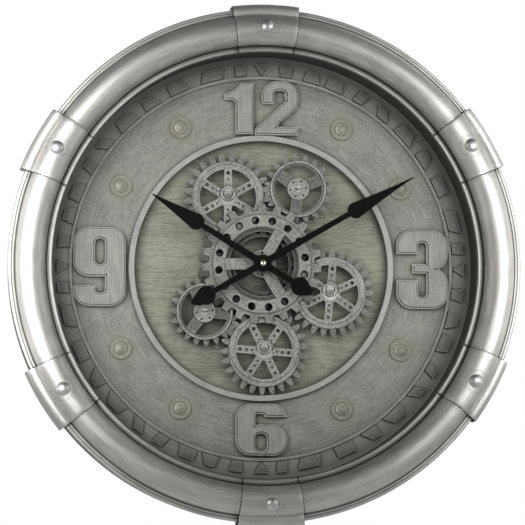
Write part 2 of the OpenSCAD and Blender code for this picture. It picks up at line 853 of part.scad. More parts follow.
module post_screws() {
    head_h = post_top_h + seat_gap;
    slot_w = screw_head_t / 2;
    color("gainsboro") stand_up() at_arbor()
        for (pos = [gear_1_pos, gear_3_pos, gear_4_pos]) translate(pos)
            difference() {
                union() {
                    ring(screw_head_r, 0, head_h, head_h + screw_head_t);
                    ring(post_screw_r, 0, post_top_h - post_screw_l + free_gap,
                        head_h + screw_head_t / 2);
                }
                translate([-screw_head_r - cut, -slot_w / 2, head_h + screw_head_t / 2])
                    cube([2 * (screw_head_r + cut), slot_w, screw_head_t]);
            }
}

module plate_bearing() {
    color("goldenrod") stand_up() at_arbor() translate(gear_5_pos) {
        ring(nose_r, shaft_r + run_gap, plate_h - plate_t, nose_h);
        ring(post_flange_r, nose_r - seat_gap, plate_h + seat_gap, nose_h);
    }
}

// Centre stack, which turns as one piece on the sleeve
wheel_spokes = 3;
hub_r = 10;
hub_bore_r = sleeve_r + run_gap;
band_w = 3;
rear_band_w = 11;
centre_spoke_w = 12.8;
centre_spoke_angle = 29;
front_phase = 0.4;
rear_phase = 10.8;
centre_ring_edge = 4.2;
centre_ring_w = 14.4;
centre_ring_out_r = front_tip_r - front_tooth_h - centre_ring_edge;
centre_ring_in_r = centre_ring_out_r - centre_ring_w;
centre_plate_r = 15.8;
ring_hole_count = 16;
ring_hole_edge = 6.5;
ring_hole_pos_r = centre_ring_out_r - ring_hole_edge;
ring_hole_angle = 13.7;
peg_hole_r = 1.9;
peg_hole_pos_r = 13;

function root_radius(teeth) = gear_module * (teeth / 2 - dedendum_share);

module centre_hub() {
    color("gray") stand_up() at_arbor() {
        ring(hub_r, hub_bore_r, plate_h + seat_gap + post_flange_t + free_gap / 2,
            stack_top_h + free_gap);
    }
}

module rear_wheel() {
    at_gear([0, 0], rear_h)
        open_wheel(rear_t, rear_tip_r - front_tooth_h - rear_band_w, centre_plate_r,
            hub_r + seat_gap, wheel_spokes, centre_spoke_w, centre_spoke_angle)
            show_wheel_outline(rear_teeth, rear_tip_r, rear_tip_r - front_tooth_h, rear_phase);
}

module lower_centre_gear() {
    at_gear([0, 0], lower_h)
        open_wheel(gear_t, root_radius(lower_teeth) - 3 * band_w, centre_plate_r,
            hub_r + seat_gap, wheel_spokes, centre_spoke_w, centre_spoke_angle)
            gear_outline(lower_teeth, gear_module, tooth_thinning, lower_phase);
}

module upper_centre_gear() {
    at_gear([0, 0], upper_h)
        open_wheel(gear_t, root_radius(upper_teeth) - band_w, centre_plate_r,
            hub_r + seat_gap, wheel_spokes, centre_spoke_w, centre_spoke_angle)
            gear_outline(upper_teeth, gear_module, tooth_thinning, upper_phase);
}

module ring_holes(t) {
    for (k = [0 : ring_hole_count - 1])
        on_clock(ring_hole_pos_r, ring_hole_angle + k * 360 / ring_hole_count)
            translate([0, 0, -cut]) cylinder(r = ring_hole_r, h = t + 2 * cut);
}

module front_wheel() {
    at_gear([0, 0], front_h)
        difference() {
            linear_extrude(front_t)
                show_wheel_outline(front_teeth, front_tip_r, front_tip_r - front_tooth_h,
                    front_phase);
            translate([0, 0, -cut])
                cylinder(r = root_radius(upper_teeth) + band_w, h = front_t + 2 * cut);
            ring_holes(front_t);
        }
}

module centre_ring() {
    at_gear([0, 0], centre_ring_h)
        difference() {
            open_wheel(ring_t, centre_ring_in_r, centre_plate_r, hub_r + seat_gap,
                wheel_spokes, centre_spoke_w, centre_spoke_angle)
                circle(r = centre_ring_out_r);
            ring_holes(ring_t);
            for (y = [-1, 1])
                translate([0, y * peg_hole_pos_r, -cut])
                    cylinder(r = peg_hole_r, h = ring_t + 2 * cut);
        }
}

// Large satellites: toothed gear on a bearing, with a drilled ring in front
large_ring_step = 1.2;
large_band_w = 9.35;
large_ring_out_r = root_radius(large_teeth) - large_ring_step;
large_ring_in_r = root_radius(large_teeth) - large_band_w;
front_spoke_w = 8.5;
front_hub_r = 11.5;
front_spokes = 6;
// Holes along a front spoke: distance from the axis and radius, as shares of
// the inner radius of the ring
spoke_hole_shares = [[0.856, 0.078], [0.629, 0.066], [0.437, 0.048]];

module large_gear(pos, phase) {
    at_gear(pos, upper_h)
        difference() {
            linear_extrude(gear_t)
                gear_outline(large_teeth, gear_module, tooth_thinning, phase);
            translate([0, 0, -cut]) cylinder(r = large_ring_in_r, h = gear_t + 2 * cut);
        }
}

module large_ring(pos, spoke_angle) {
    at_gear(pos, sat_ring_h)
        difference() {
            open_wheel(ring_t, large_ring_in_r, front_hub_r, gear_bearing_r + seat_gap,
                front_spokes, front_spoke_w, spoke_angle)
                circle(r = large_ring_out_r);
            for (k = [0 : front_spokes - 1], share = spoke_hole_shares)
                on_clock(share[0] * large_ring_in_r, spoke_angle + k * 360 / front_spokes)
                    translate([0, 0, -cut])
                        cylinder(r = share[1] * large_ring_in_r, h = ring_t + 2 * cut);
        }
}

module large_bearing(pos) {
    groove_r = (gear_bearing_r + post_r) / 2;
    groove_w = gear_bearing_r - groove_r;
    at_gear(pos, 0)
        difference() {
            ring(gear_bearing_r, post_r + run_gap, upper_h, sat_ring_h + ring_t + free_gap / 2);
            ring(groove_r + groove_w / 2, groove_r - groove_w / 2, sat_ring_h + ring_t / 2,
                sat_ring_h + ring_t + cut);
        }
}

// Small satellites: gear on a collared shaft, with a thin ring in front
small_ring_rise = 1.35;
small_ring_w = 2;
small_ring_out_r = root_radius(small_teeth) + small_ring_rise;
small_ring_in_r = small_ring_out_r - small_ring_w;
small_spoke_w = 12.5;
small_hub_r = 12.5;
small_hole_r = 1.4;
small_hole_pos_r = 9.6;
small_hole_angle = 22;
small_hole_count = 6;
shaft_tip_r = 2.2;

module small_gear(pos, low, phase, spoke_angle) {
    at_gear(pos, low)
        open_wheel(upper_h + gear_t - low, root_radius(small_teeth) - band_w, small_hub_r,
            collar_r + seat_gap, wheel_spokes, small_spoke_w, spoke_angle)
            gear_outline(small_teeth, gear_module, tooth_thinning, phase);
}

module small_ring(pos) {
    at_gear(pos, sat_ring_h) {
        ring(small_ring_out_r, small_ring_in_r, 0, ring_t);
        difference() {
            ring(small_hub_r, collar_r + seat_gap, 0, ring_t);
            for (k = [0 : small_hole_count - 1])
                on_clock(small_hole_pos_r, small_hole_angle + k * 360 / small_hole_count)
                    translate([0, 0, -cut]) cylinder(r = small_hole_r, h = ring_t + 2 * cut);
        }
    }
}

module small_shaft(pos) {
    at_gear(pos, 0) {
        ring(shaft_r, 0, plate_h - plate_t - 2 * layer_gap, nose_h + layer_gap);
        ring(collar_r, 0, nose_h + free_gap / 2, sat_ring_h + ring_t + free_gap / 2);
        ring(shaft_tip_r, 0, upper_h, sat_ring_h + ring_t + 2 * layer_gap);
    }
}

gear_1_spokes = 0.5;
gear_3_spokes = 5;
gear_4_spokes = 34;
gear_2_spokes = 66.5;
gear_5_spokes = 96;

module gear_1() {
    large_gear(gear_1_pos, gear_1_phase);
}
module gear_1_ring() {
    large_ring(gear_1_pos, gear_1_spokes);
}
module gear_1_bearing() {
    large_bearing(gear_1_pos);
}
module gear_2() {
    small_gear(gear_2_pos, upper_h, gear_2_phase, gear_2_spokes);
}
module gear_2_ring() {
    small_ring(gear_2_pos);
}
module gear_2_shaft() {
    small_shaft(gear_2_pos);
}
module gear_3() {
    large_gear(gear_3_pos, gear_3_phase);
}
module gear_3_ring() {
    large_ring(gear_3_pos, gear_3_spokes);
}
module gear_3_bearing() {
    large_bearing(gear_3_pos);
}
module gear_4() {
    large_gear(gear_4_pos, gear_4_phase);
}
module gear_4_ring() {
    large_ring(gear_4_pos, gear_4_spokes);
}
module gear_4_bearing() {
    large_bearing(gear_4_pos);
}
module gear_5() {
    small_gear(gear_5_pos, lower_h, gear_5_phase, gear_5_spokes);
}
module gear_5_ring() {
    small_ring(gear_5_pos);
}
module gear_5_shaft() {
    small_shaft(gear_5_pos);
}

// Hands
hour_hand_h = nut_h + nut_t + 3 * free_gap;
minute_hand_h = hour_hand_h + hand_t + 2 * free_gap;
minute_angle = rest_minute * 6;
hour_angle = rest_hour * 30 + rest_minute / 2 - hour_back_angle;
spade_steps = 8;

// Half the width of a spade at a share of its way from the bulge to the tip
function spade_half(bulge, tip, t, power) = tip + (bulge - tip) * pow(1 - t, power);

// Round bulge that runs out to a point
module spade(at_r, bulge, end_r, power) {
    translate([0, at_r, 0]) cylinder(r = bulge, h = hand_t);
    linear_extrude(hand_t)
        polygon([for (side = [-1, 1], i = [0 : spade_steps])
            let (t = (side < 0 ? i : spade_steps - i) / spade_steps)
            [side * spade_half(bulge, tip_half, t, power), at_r + t * (end_r - at_r)]]);
}

// Arm that tapers from the arbor to a spade
module arm(r_to) {
    linear_extrude(hand_t)
        polygon([[-arm_half, 0], [arm_half, 0], [arm_end_half, r_to], [-arm_end_half, r_to]]);
}

tip_half = 0.7;
minute_spade_r = 126;
minute_bulge = 9.6;
minute_tail_r = 77;
minute_tail_bulge = 10.9;
minute_tail_end = 97;
hour_spade_r = 92;
hour_bulge = 9.8;
hour_tail_r = 51;
hour_tail_bulge = 10.9;
hour_tail_end = 68;
// Exponents of the taper of a tail and of each hand's spade
tail_power = 0.62;
hour_power = 1.15;
minute_power = 1.3;
arm_half = 4.2;
arm_end_half = 3;

module hand(len, spade_r, bulge, tail_r, tail_bulge, tail_end, bore_r, power) {
    difference() {
        union() {
            cylinder(r = hand_hub_r, h = hand_t);
            arm(spade_r);
            spade(spade_r, bulge, len, power);
            rotate([0, 0, 180]) {
                arm(tail_r);
                spade(tail_r, tail_bulge, tail_end, tail_power);
            }
        }
        translate([0, 0, -cut]) cylinder(r = bore_r, h = hand_t + 2 * cut);
    }
}

module hour_hand() {
    color("black") stand_up() at_arbor() rotate([0, 0, -hour_angle])
        translate([0, 0, hour_hand_h])
            hand(hour_len, hour_spade_r, hour_bulge, hour_tail_r, hour_tail_bulge,
                hour_tail_end, pipe_r + seat_gap, hour_power);
}

module minute_hand() {
    color("black") stand_up() at_arbor() rotate([0, 0, -minute_angle])
        translate([0, 0, minute_hand_h])
            hand(minute_len, minute_spade_r, minute_bulge, minute_tail_r, minute_tail_bulge,
                minute_tail_end, arbor_r + seat_gap, minute_power);
}

cap_h = minute_hand_h + hand_t + seat_gap;
cap_skirt = 1.6;
cap_bore_l = 2.4;

module cap_nut() {
    color("white") stand_up() at_arbor()
        difference() {
            union() {
                ring(cap_r, 0, cap_h, cap_h + cap_skirt);
                translate([0, 0, cap_h + cap_skirt]) dome(cap_r, cap_r - arbor_r);
            }
            translate([0, 0, cap_h - cut]) cylinder(r = arbor_r + seat_gap, h = cap_bore_l + cut);
        }
}

// Quartz movement, clamped behind the gear plate by its threaded bush
case_wall = 1;
case_left = 24;
case_contact_w = 4;
case_w = cell_l + case_end_w;
case_front_h = plate_h - plate_t - seat_gap;
case_back_h = 4.8;
cover_t = 1;
cover_h = case_back_h - seat_gap - cover_t;
bush_top_h = nut_h + nut_t + 0.5 * free_gap;
motion_module = 0.5;
hour_module = 0.48;
motion_thin = 0.12;
cannon_teeth = 12;
reverser_teeth = 36;
pinion_teeth = 10;
hour_teeth = 40;
wheel_t = 1.4;
wheel_low_h = 13;
wheel_high_h = wheel_low_h + wheel_t + 3 * free_gap;
stud_r = 1;
pivot_r = 1;
knob_low_h = 0.6;
knob_t = 2.8;
reverser_angle = 45;
knob_angle = 0;
cell_x = case_wall + case_contact_w - case_left;
cell_y = -18;
cell_h = case_front_h - case_wall - cell_r - 2 * seat_gap;
coil_x = -17;
coil_y = -6;
coil_l = 28;
coil_r = 4;
coil_core_r = 2;
coil_flange_w = 9;
coil_flange_t = 1.2;
reverser_pos = clock_point(motion_dist, reverser_angle);
knob_pos = reverser_pos + clock_point(motion_dist, knob_angle);

cannon_phase = 7;
reverser_phase = mesh_phase(reverser_angle, cannon_teeth, cannon_phase, reverser_teeth);
knob_phase = mesh_phase(knob_angle, reverser_teeth, reverser_phase, cannon_teeth);
pinion_phase = 11;
hour_phase = mesh_phase(reverser_angle + 180, pinion_teeth, pinion_phase, hour_teeth);

module movement_case() {
    color("saddlebrown") stand_up() at_arbor()
        difference() {
            union() {
                difference() {
                    translate([-case_left, -case_l / 2, case_back_h])
                        cube([case_w, case_l, case_front_h - case_back_h]);
                    translate([case_wall - case_left, case_wall - case_l / 2, case_back_h - cut])
                        cube([case_w - 2 * case_wall, case_l - 2 * case_wall,
                            case_front_h - case_wall - case_back_h + cut]);
                }
                translate([pad_x, pad_y, case_front_h - case_wall / 2])
                    cube([pad_w, pad_l, plate_h + pad_rise - case_front_h + case_wall / 2]);
                ring(bush_r, 0, case_front_h - case_wall, bush_top_h);
            }
            translate([0, 0, case_front_h - case_wall - cut])
                cylinder(r = pipe_r + run_gap, h = bush_top_h + 2 * cut);
        }
}

module movement_cover() {
    color("sienna") stand_up() at_arbor() {
        difference() {
            translate([-case_left, -case_l / 2, cover_h]) cube([case_w, case_l, cover_t]);
            translate([cell_x - free_gap, cell_y - cell_r + free_gap, cover_h - cut])
                cube([cell_l + 2 * free_gap, 2 * (cell_r - free_gap), cover_t + 2 * cut]);
            translate([knob_pos[0], knob_pos[1], cover_h - cut])
                cylinder(r = pivot_r + run_gap, h = cover_t + 2 * cut);
        }
        ring(2 * stud_r, pivot_r + run_gap, cover_h + cover_t / 2, cover_h + 3 * cover_t);
        translate(reverser_pos)
            ring(stud_r, 0, cover_h + cover_t / 2, wheel_high_h + wheel_t + free_gap);
        translate(reverser_pos)
            ring(2 * stud_r, 0, cover_h + cover_t / 2, wheel_low_h - free_gap / 2);
    }
}

module stepper_coil() {
    color("peru") stand_up() at_arbor()
        translate([coil_x, coil_y, (case_back_h + case_front_h - case_wall) / 2])
            rotate([-90, 0, 0]) {
                cylinder(r = coil_core_r, h = coil_l);
                translate([0, 0, coil_flange_t])
                    cylinder(r = coil_r, h = coil_l - 2 * coil_flange_t);
                for (y = [0, coil_l - coil_flange_t])
                    translate([-coil_flange_w / 2,
                        -(case_front_h - case_wall - case_back_h) / 2 + seat_gap, y])
                        cube([coil_flange_w,
                            case_front_h - case_wall - case_back_h - 2 * seat_gap,
                            coil_flange_t]);
            }
}

module minute_arbor() {
    color("gold") stand_up() at_arbor() {
        ring(arbor_r, 0, wheel_low_h - 2 * free_gap, cap_h + cap_bore_l - free_gap);
        ring(pivot_r, 0, cover_h + cover_t + free_gap, wheel_low_h);
        translate([0, 0, wheel_low_h]) linear_extrude(wheel_t)
            gear_outline(cannon_teeth, motion_module, motion_thin, cannon_phase, fine_steps);
    }
}

module hour_pipe() {
    color("khaki") stand_up() at_arbor() {
        ring(pipe_r, arbor_r + run_gap, wheel_high_h, hour_hand_h + hand_t + free_gap / 2);
        translate([0, 0, wheel_high_h]) linear_extrude(wheel_t)
            difference() {
                gear_outline(hour_teeth, hour_module, motion_thin, hour_phase, fine_steps);
                circle(r = arbor_r + run_gap);
            }
    }
}

module reversing_wheel() {
    color("khaki") stand_up() at_arbor() translate([reverser_pos[0], reverser_pos[1], 0]) {
        translate([0, 0, wheel_low_h]) linear_extrude(wheel_t)
            difference() {
                gear_outline(reverser_teeth, motion_module, motion_thin, reverser_phase, fine_steps);
                circle(r = stud_r + run_gap);
            }
        translate([0, 0, wheel_low_h + wheel_t])
            linear_extrude(wheel_high_h - wheel_low_h)
                difference() {
                    gear_outline(pinion_teeth, hour_module, motion_thin, pinion_phase, fine_steps);
                    circle(r = stud_r + run_gap);
                }
    }
}

module setting_knob() {
    color("darkred") stand_up() at_arbor() translate([knob_pos[0], knob_pos[1], 0]) {
        ring(knob_r, 0, knob_low_h, knob_low_h + knob_t);
        ring(pivot_r, 0, knob_low_h, wheel_low_h + wheel_t);
        translate([0, 0, wheel_low_h]) linear_extrude(wheel_t)
            gear_outline(cannon_teeth, motion_module, motion_thin, knob_phase, fine_steps);
    }
}

// Gear motor behind the plate, whose shaft carries the second satellite
motor_w = 36;
motor_l = 32;
motor_back_h = 5;

module gear_motor() {
    color("slategray") stand_up() at_arbor() translate(gear_2_pos)
        difference() {
            union() {
                translate([-motor_w / 2, -motor_l / 2, motor_back_h])
                    cube([motor_w, motor_l, plate_h - plate_t - seat_gap - motor_back_h]);
                ring(nose_r, 0, motor_back_h, nose_h);
            }
            translate([0, 0, plate_h - plate_t - 3 * layer_gap])
                cylinder(r = shaft_r + run_gap, h = nose_h);
        }
}

// Battery box of the gear motor, let into the back panel on the right
box_x = 118;
box_y = 0;
box_wall = 1.6;
box_side_gap = 2;
switch_bay_l = 13.7;
cell_pitch = cell_r + 2 * seat_gap;
box_w = 2 * (cell_pitch + cell_r + box_side_gap + box_wall);
box_l = cell_l + switch_bay_l + 3 * (free_gap + box_wall);
box_front_h = 19;
switch_slot_w = 5;
switch_slot_l = 10;
switch_travel = 3;
switch_w = 4.4;
switch_l = 6;
switch_head_w = 8;
switch_rise = 1;
box_cell_h = box_front_h - box_wall - cell_r - seat_gap;
box_cell_y = box_y + box_l / 2 - box_wall - cell_l - free_gap;
switch_y = box_y - box_l / 2 + (box_cell_y - box_y + box_l / 2) / 2;
divider_y = box_cell_y - 2 * free_gap - box_wall;

module battery_box() {
    back_h = panel_t + seat_gap;
    color("dimgray") stand_up() {
        difference() {
            translate([box_x - box_w / 2, box_y - box_l / 2, back_h])
                cube([box_w, box_l, box_front_h - back_h]);
            translate([box_x - box_w / 2 + box_wall, divider_y + box_wall, back_h - cut])
                cube([box_w - 2 * box_wall, box_y + box_l / 2 - box_wall - divider_y - box_wall,
                    box_front_h - box_wall - back_h + cut]);
            translate([box_x - box_w / 2 + box_wall, box_y - box_l / 2 + box_wall,
                back_h + box_wall])
                cube([box_w - 2 * box_wall, divider_y - box_y + box_l / 2 - box_wall,
                    box_front_h - 2 * box_wall - back_h]);
            translate([box_x - switch_slot_l / 2, switch_y - switch_slot_w / 2, back_h - cut])
                cube([switch_slot_l, switch_slot_w, box_wall + 2 * cut]);
        }
    }
}

module motor_switch() {
    back_h = panel_t + seat_gap;
    x_low = box_x - switch_slot_l / 2 + (switch_slot_l - switch_l - switch_travel) / 2;
    color("red") stand_up() {
        translate([x_low, switch_y - switch_w / 2, switch_rise])
            cube([switch_l, switch_w, back_h + box_wall + 2 * free_gap - switch_rise]);
        translate([x_low, switch_y - switch_head_w / 2, back_h + box_wall + free_gap / 2])
            cube([switch_l, switch_head_w, box_wall]);
    }
}

// One dry cell along +Y with its button end, starting at the origin
cell_button_r = 2.7;
cell_button_l = 1.2;

module dry_cell() {
    rotate([-90, 0, 0]) {
        cylinder(r = cell_r, h = cell_l - cell_button_l);
        cylinder(r = cell_button_r, h = cell_l);
    }
}

module dry_cells() {
    color("orange") stand_up() {
        at_arbor() translate([cell_x, cell_y, cell_h]) rotate([0, 0, -90]) dry_cell();
        for (x = [-cell_pitch, cell_pitch])
            translate([box_x + x, box_cell_y, box_cell_h]) dry_cell();
    }
}

rim_ring();
rim_straps();
strap_rivets();
side_drum();
well_wall();
back_panel();
panel_screws();
hanger_plate();
dial_plate();
block_band();
window_ring();
numeral_12();
numeral_3();
numeral_6();
numeral_9();
stud_washers();
stud_domes();
gear_plate();
plate_pillars();
centre_sleeve();
bush_nut();
gear_posts();
post_screws();
plate_bearing();
centre_hub();
rear_wheel();
lower_centre_gear();
upper_centre_gear();
front_wheel();
centre_ring();
gear_1();
gear_1_ring();
gear_1_bearing();
gear_2();
gear_2_ring();
gear_2_shaft();
gear_3();
gear_3_ring();
gear_3_bearing();
gear_4();
gear_4_ring();
gear_4_bearing();
gear_5();
gear_5_ring();
gear_5_shaft();
hour_hand();
minute_hand();
cap_nut();
movement_case();
movement_cover();
stepper_coil();
minute_arbor();
hour_pipe();
reversing_wheel();
setting_knob();
dry_cells();
gear_motor();
battery_box();
motor_switch();
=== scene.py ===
import math

import bmesh
import bpy
from mathutils import Matrix, Vector


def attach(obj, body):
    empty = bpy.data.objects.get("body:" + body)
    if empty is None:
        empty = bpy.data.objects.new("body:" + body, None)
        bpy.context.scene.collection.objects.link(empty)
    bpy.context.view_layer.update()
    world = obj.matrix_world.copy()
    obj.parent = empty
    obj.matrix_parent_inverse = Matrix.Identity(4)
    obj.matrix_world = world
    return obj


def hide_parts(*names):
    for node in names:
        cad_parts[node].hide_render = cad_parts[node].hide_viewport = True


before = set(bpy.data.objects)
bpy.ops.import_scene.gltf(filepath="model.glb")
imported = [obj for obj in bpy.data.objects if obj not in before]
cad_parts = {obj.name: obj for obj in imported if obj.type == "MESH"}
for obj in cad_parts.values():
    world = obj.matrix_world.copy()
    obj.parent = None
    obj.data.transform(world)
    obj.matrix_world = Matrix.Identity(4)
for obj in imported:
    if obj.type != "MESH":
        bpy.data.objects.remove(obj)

bl_info = {
    "name": "Gear window wall clock",
    "version": (1, 1, 0),
    "blender": (4, 5, 0),
    "location": "3D View > Sidebar > Clock",
    "description": "Finishes and fine pieces of an open-front wall clock with turning gears",
    "category": "Object",
}

# Places and sizes of the clock, in metres, that its fine pieces and finishes follow.
# A name that ends in H is a height over the wall, towards -Y.
ARBOR = (0.0, 0.0045)
GEAR_CENTRES = {
    1: (-0.039679, 0.086874),
    2: (0.043225, 0.097641),
    3: (0.080805, -0.024306),
    4: (0.003161, -0.092711),
    5: (-0.066952, -0.047180),
}
LARGE_GEARS = (1, 3, 4)
RIM_BASE_H = 0.076
ARCH_R = 0.2741
ARCH_HALF = 0.0185
ARCH_BALL_R = 0.018908
ARCH_BALL_H = 0.072092
BEAD_MID_R = 0.2975
BEAD_H = 0.0723
BEAD_R = 0.0025
LIP_R = 0.24925
STRAP_PLACES = (0.0, 59.5, 118.8, 178.8, 238.3, 298.5)
STRAP_ANGLE = 14.75
STRAP_BALL_R = 0.020358
STRAP_IN_R = 0.2568
STRAP_BEND_R = 0.009
STRAP_BEND_MID_R = 0.2964
STRAP_MEET_R = 0.29265
STRAP_FOOT_R = 0.295
STRAP_FOOT_H = 0.046
RIVET_R = 0.2785
HOUR_R = 0.190
CELL_R = 0.00715
CELL_L = 0.050
SCREW_POS_R = 0.28875
SCREW_HEAD_R = 0.0038
SCREW_HEAD_T = 0.0016
SCREW_COUNT = 12

# Axes, steps of a full spin, and how near a corner lies to the line that it is found by
MIDDLE = (0.0, 0.0)
FACE_AXIS = (0, 1, 0)
SECTION_AXIS = (0, 0, 1)
RIM_STEPS = 240
NEAR = 5e-5
MERGE = 1e-6

# Where dirt and painted shade darken the rim. On the rim: from and to radius, softness and share of
# each groove; the last is the lip, painted darker to dim its highlight.
# Round each rivet: from and to distance, and softness, of the stain and of the painted shade at its
# seat. Beside each strap: degrees of the painted shadow at its edge and of the stain.
RIM_GROOVES = ((0.2948, 0.2972, 0.0009, 1.0), (0.2515, 0.2562, 0.001, 0.95),
               (0.2483, 0.2513, 0.0006, 0.75))
RIVET_STAIN = (0.0078, 0.017, 0.004)
RIVET_SEAT_SHADE = (0.0066, 0.0088, 0.0009)
SEAM_SHADOW_ANGLE = 0.4
STAIN_ANGLE = 2.6
# Round each stud: from and to distance, softness and share of each dark line
STUD_LINES = ((0.0068, 0.0084, 0.0005, 0.8), (0.0118, 0.0135, 0.0005, 0.7),
              (0.0098, 0.0106, 0.0003, 0.35))
# Towards the rim of the dial, and over its outer band: the radii between which it darkens, with
# dust and painted shade on the dial and with painted shade on the band
DIAL_RIM = (0.2, 0.232)
BAND_LIP = (0.2252, 0.2268)
BAND_FALL = (0.2262, 0.247)
RIM_DUST_AND_SHADE = (0.045, 0.044, 0.038)
BAND_SHADE = (0.02, 0.02, 0.017)


def rgba(colour):
    """Colour with a full alpha, as a node's colour socket takes it."""
    return tuple(colour)[:3] + (1.0,)


def shade(colour, share):
    """Colour made lighter or darker by a share."""
    return tuple(c * share for c in tuple(colour)[:3])


class Value:
    """One output of a shader node, with the plain arithmetic that the finishes use."""

    def __init__(self, finish, socket):
        self.finish = finish
        self.socket = socket

    def math(self, operation, *others, first=None):
        values = ([self] if first is None else [first, self]) + list(others)
        return self.finish.node("ShaderNodeMath", {"operation": operation}, dict(enumerate(values)))

    def __add__(self, other):
        return self.math("ADD", other)

    def __sub__(self, other):
        return self.math("SUBTRACT", other)

    def __rsub__(self, other):
        return self.math("SUBTRACT", first=other)

    def __mul__(self, other):
        return self.math("MULTIPLY", other)

    def __truediv__(self, other):
        return self.math("DIVIDE", other)

    def __abs__(self):
        return self.math("ABSOLUTE")

    __radd__ = __add__
    __rmul__ = __mul__

    def capped(self):
        return self.math("MINIMUM", 1.0)


class NodeTree:
    """Builds shader nodes in one tree."""

    def __init__(self, tree):
        self.tree = tree

    def node(self, kind, settings=None, values=None, out=0):
        made = self.tree.nodes.new(kind)
        for key, value in (settings or {}).items():
            setattr(made, key, value)
        for key, value in (values or {}).items():
            target = made.inputs[key]
            if isinstance(value, Value):
                self.tree.links.new(value.socket, target)
            else:
                target.default_value = value
        return Value(self, made.outputs[out])

    def split(self, vector):
        made = self.node("ShaderNodeSeparateXYZ", values={0: vector})
        return [Value(self, socket) for socket in made.socket.node.outputs]

    def join(self, x, y, z):
        return self.node("ShaderNodeCombineXYZ", values={0: x, 1: y, 2: z})

    def step(self, value, low, high):
        """Smooth step from 0 at low to 1 at high."""
        return self.node("ShaderNodeMapRange", {"interpolation_type": "SMOOTHSTEP"},
                         {0: value, 1: low, 2: high, 3: 0.0, 4: 1.0})

    def band(self, value, low, high, soft):
        """1 between low and high, with soft ends."""
        return self.step(value, low, low + soft) - self.step(value, high - soft, high)

    def mix(self, factor, low, high):
        """Colour between low and high."""
        low, high = (c if isinstance(c, Value) else rgba(c) for c in (low, high))
        return self.node("ShaderNodeMix", {"data_type": "RGBA"}, {0: factor, 6: low, 7: high},
                         out=2)


class Finish(NodeTree):
    """A procedural finish, built node by node on the object's own coordinates."""

    def __init__(self, name, metallic=0.0, roughness=0.5):
        self.material = bpy.data.materials.new(name)
        self.material.use_nodes = True
        super().__init__(self.material.node_tree)
        self.shader = self.tree.nodes["Principled BSDF"]
        self.shader.inputs["Metallic"].default_value = metallic
        self.shader.inputs["Roughness"].default_value = roughness

    def place(self):
        """Position on the clock, in metres, in the clock's own frame."""
        return self.node("ShaderNodeTexCoord", out="Object")

    def round_about(self, centre):
        """Radius, sine and cosine of the clockwise angle about a point of the face."""
        x, _, z = self.split(self.place())
        across, up = x - centre[0], z - centre[1]
        radius = (across * across + up * up).math("SQRT").math("MAXIMUM", 1e-5)
        return radius, across / radius, up / radius

    def off_hour(self, sine, cosine):
        """Degrees from the nearest hour's line."""
        angle = sine.math("ARCTAN2", cosine) * (180 / math.pi)
        return angle.math("PINGPONG", 15.0)

    def off_strap(self, sine, cosine):
        """Degrees from the middle of the nearest strap."""
        angle = sine.math("ARCTAN2", cosine) * (180 / math.pi)
        nearest, *others = ((angle - place).math("PINGPONG", 180.0) for place in STRAP_PLACES)
        for other in others:
            nearest = nearest.math("MINIMUM", other)
        return nearest

    def from_mark(self, radius, off, mark_r):
        """Distance from a mark that lies at mark_r, off degrees away round the clock."""
        along = off * (math.pi / 180) * radius
        out = radius - mark_r
        return (along * along + out * out).math("SQRT")

    def noise(self, vector, detail=3.0, rough=0.6, warp=0.0):
        values = {"Vector": vector, "Scale": 1.0, "Detail": detail, "Roughness": rough,
                  "Distortion": warp}
        return self.node("ShaderNodeTexNoise", values=values)

    def grain(self, sizes, detail=3.0, rough=0.6, warp=0.0):
        """Noise whose patches are about sizes metres long along X, Y and Z."""
        scale = tuple(1 / size for size in sizes)
        spread = self.node("ShaderNodeVectorMath", {"operation": "MULTIPLY"},
                           {0: self.place(), 1: scale})
        return self.noise(spread, detail, rough, warp)

    def patches(self, size, detail=3.0, rough=0.6):
        """Noise whose patches are about size metres across."""
        return self.grain((size, size, size), detail, rough)

    def turned(self, centre, turn, width, detail=3.0):
        """Brush strokes that run round a point, each turn radians long and width wide."""
        radius, sine, cosine = self.round_about(centre)
        y = self.split(self.place())[1]
        return self.noise(self.join((radius + y) / width, sine / turn, cosine / turn),
                          detail, 0.65)

    def hollows(self, reach, local=True):
        """1 on open faces, towards 0 in corners closer than reach."""
        return self.node("ShaderNodeAmbientOcclusion", {"samples": 8, "only_local": local},
                         {"Distance": reach}, out="AO")

    def rubbed(self, reach):
        """1 along outer edges, 0 on faces further than reach from them; edges are lightened by it,
        partly as worn metal and partly as a painted highlight.
        """
        inward = self.node("ShaderNodeAmbientOcclusion",
                           {"samples": 8, "only_local": True, "inside": True},
                           {"Distance": reach}, out="AO")
        return 1 - self.step(inward, 0.5, 0.95)

    def put(self, socket, value):
        self.tree.links.new(value.socket, self.shader.inputs[socket])

    def done(self, colour, roughness, height, depth, strength):
        """Feeds the shader, with a relief of a given depth, and hands back the material."""
        self.put("Base Color", colour)
        self.put("Roughness", roughness)
        self.put("Normal", self.node("ShaderNodeBump", values={
            "Height": height, "Distance": depth, "Strength": strength}))
        return self.material


def paint(material, *nodes):
    """Gives CAD nodes a finish in place of the plain one."""
    for name in nodes:
        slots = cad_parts[name].data.materials
        slots.clear()
        slots.append(material)


# Finishes

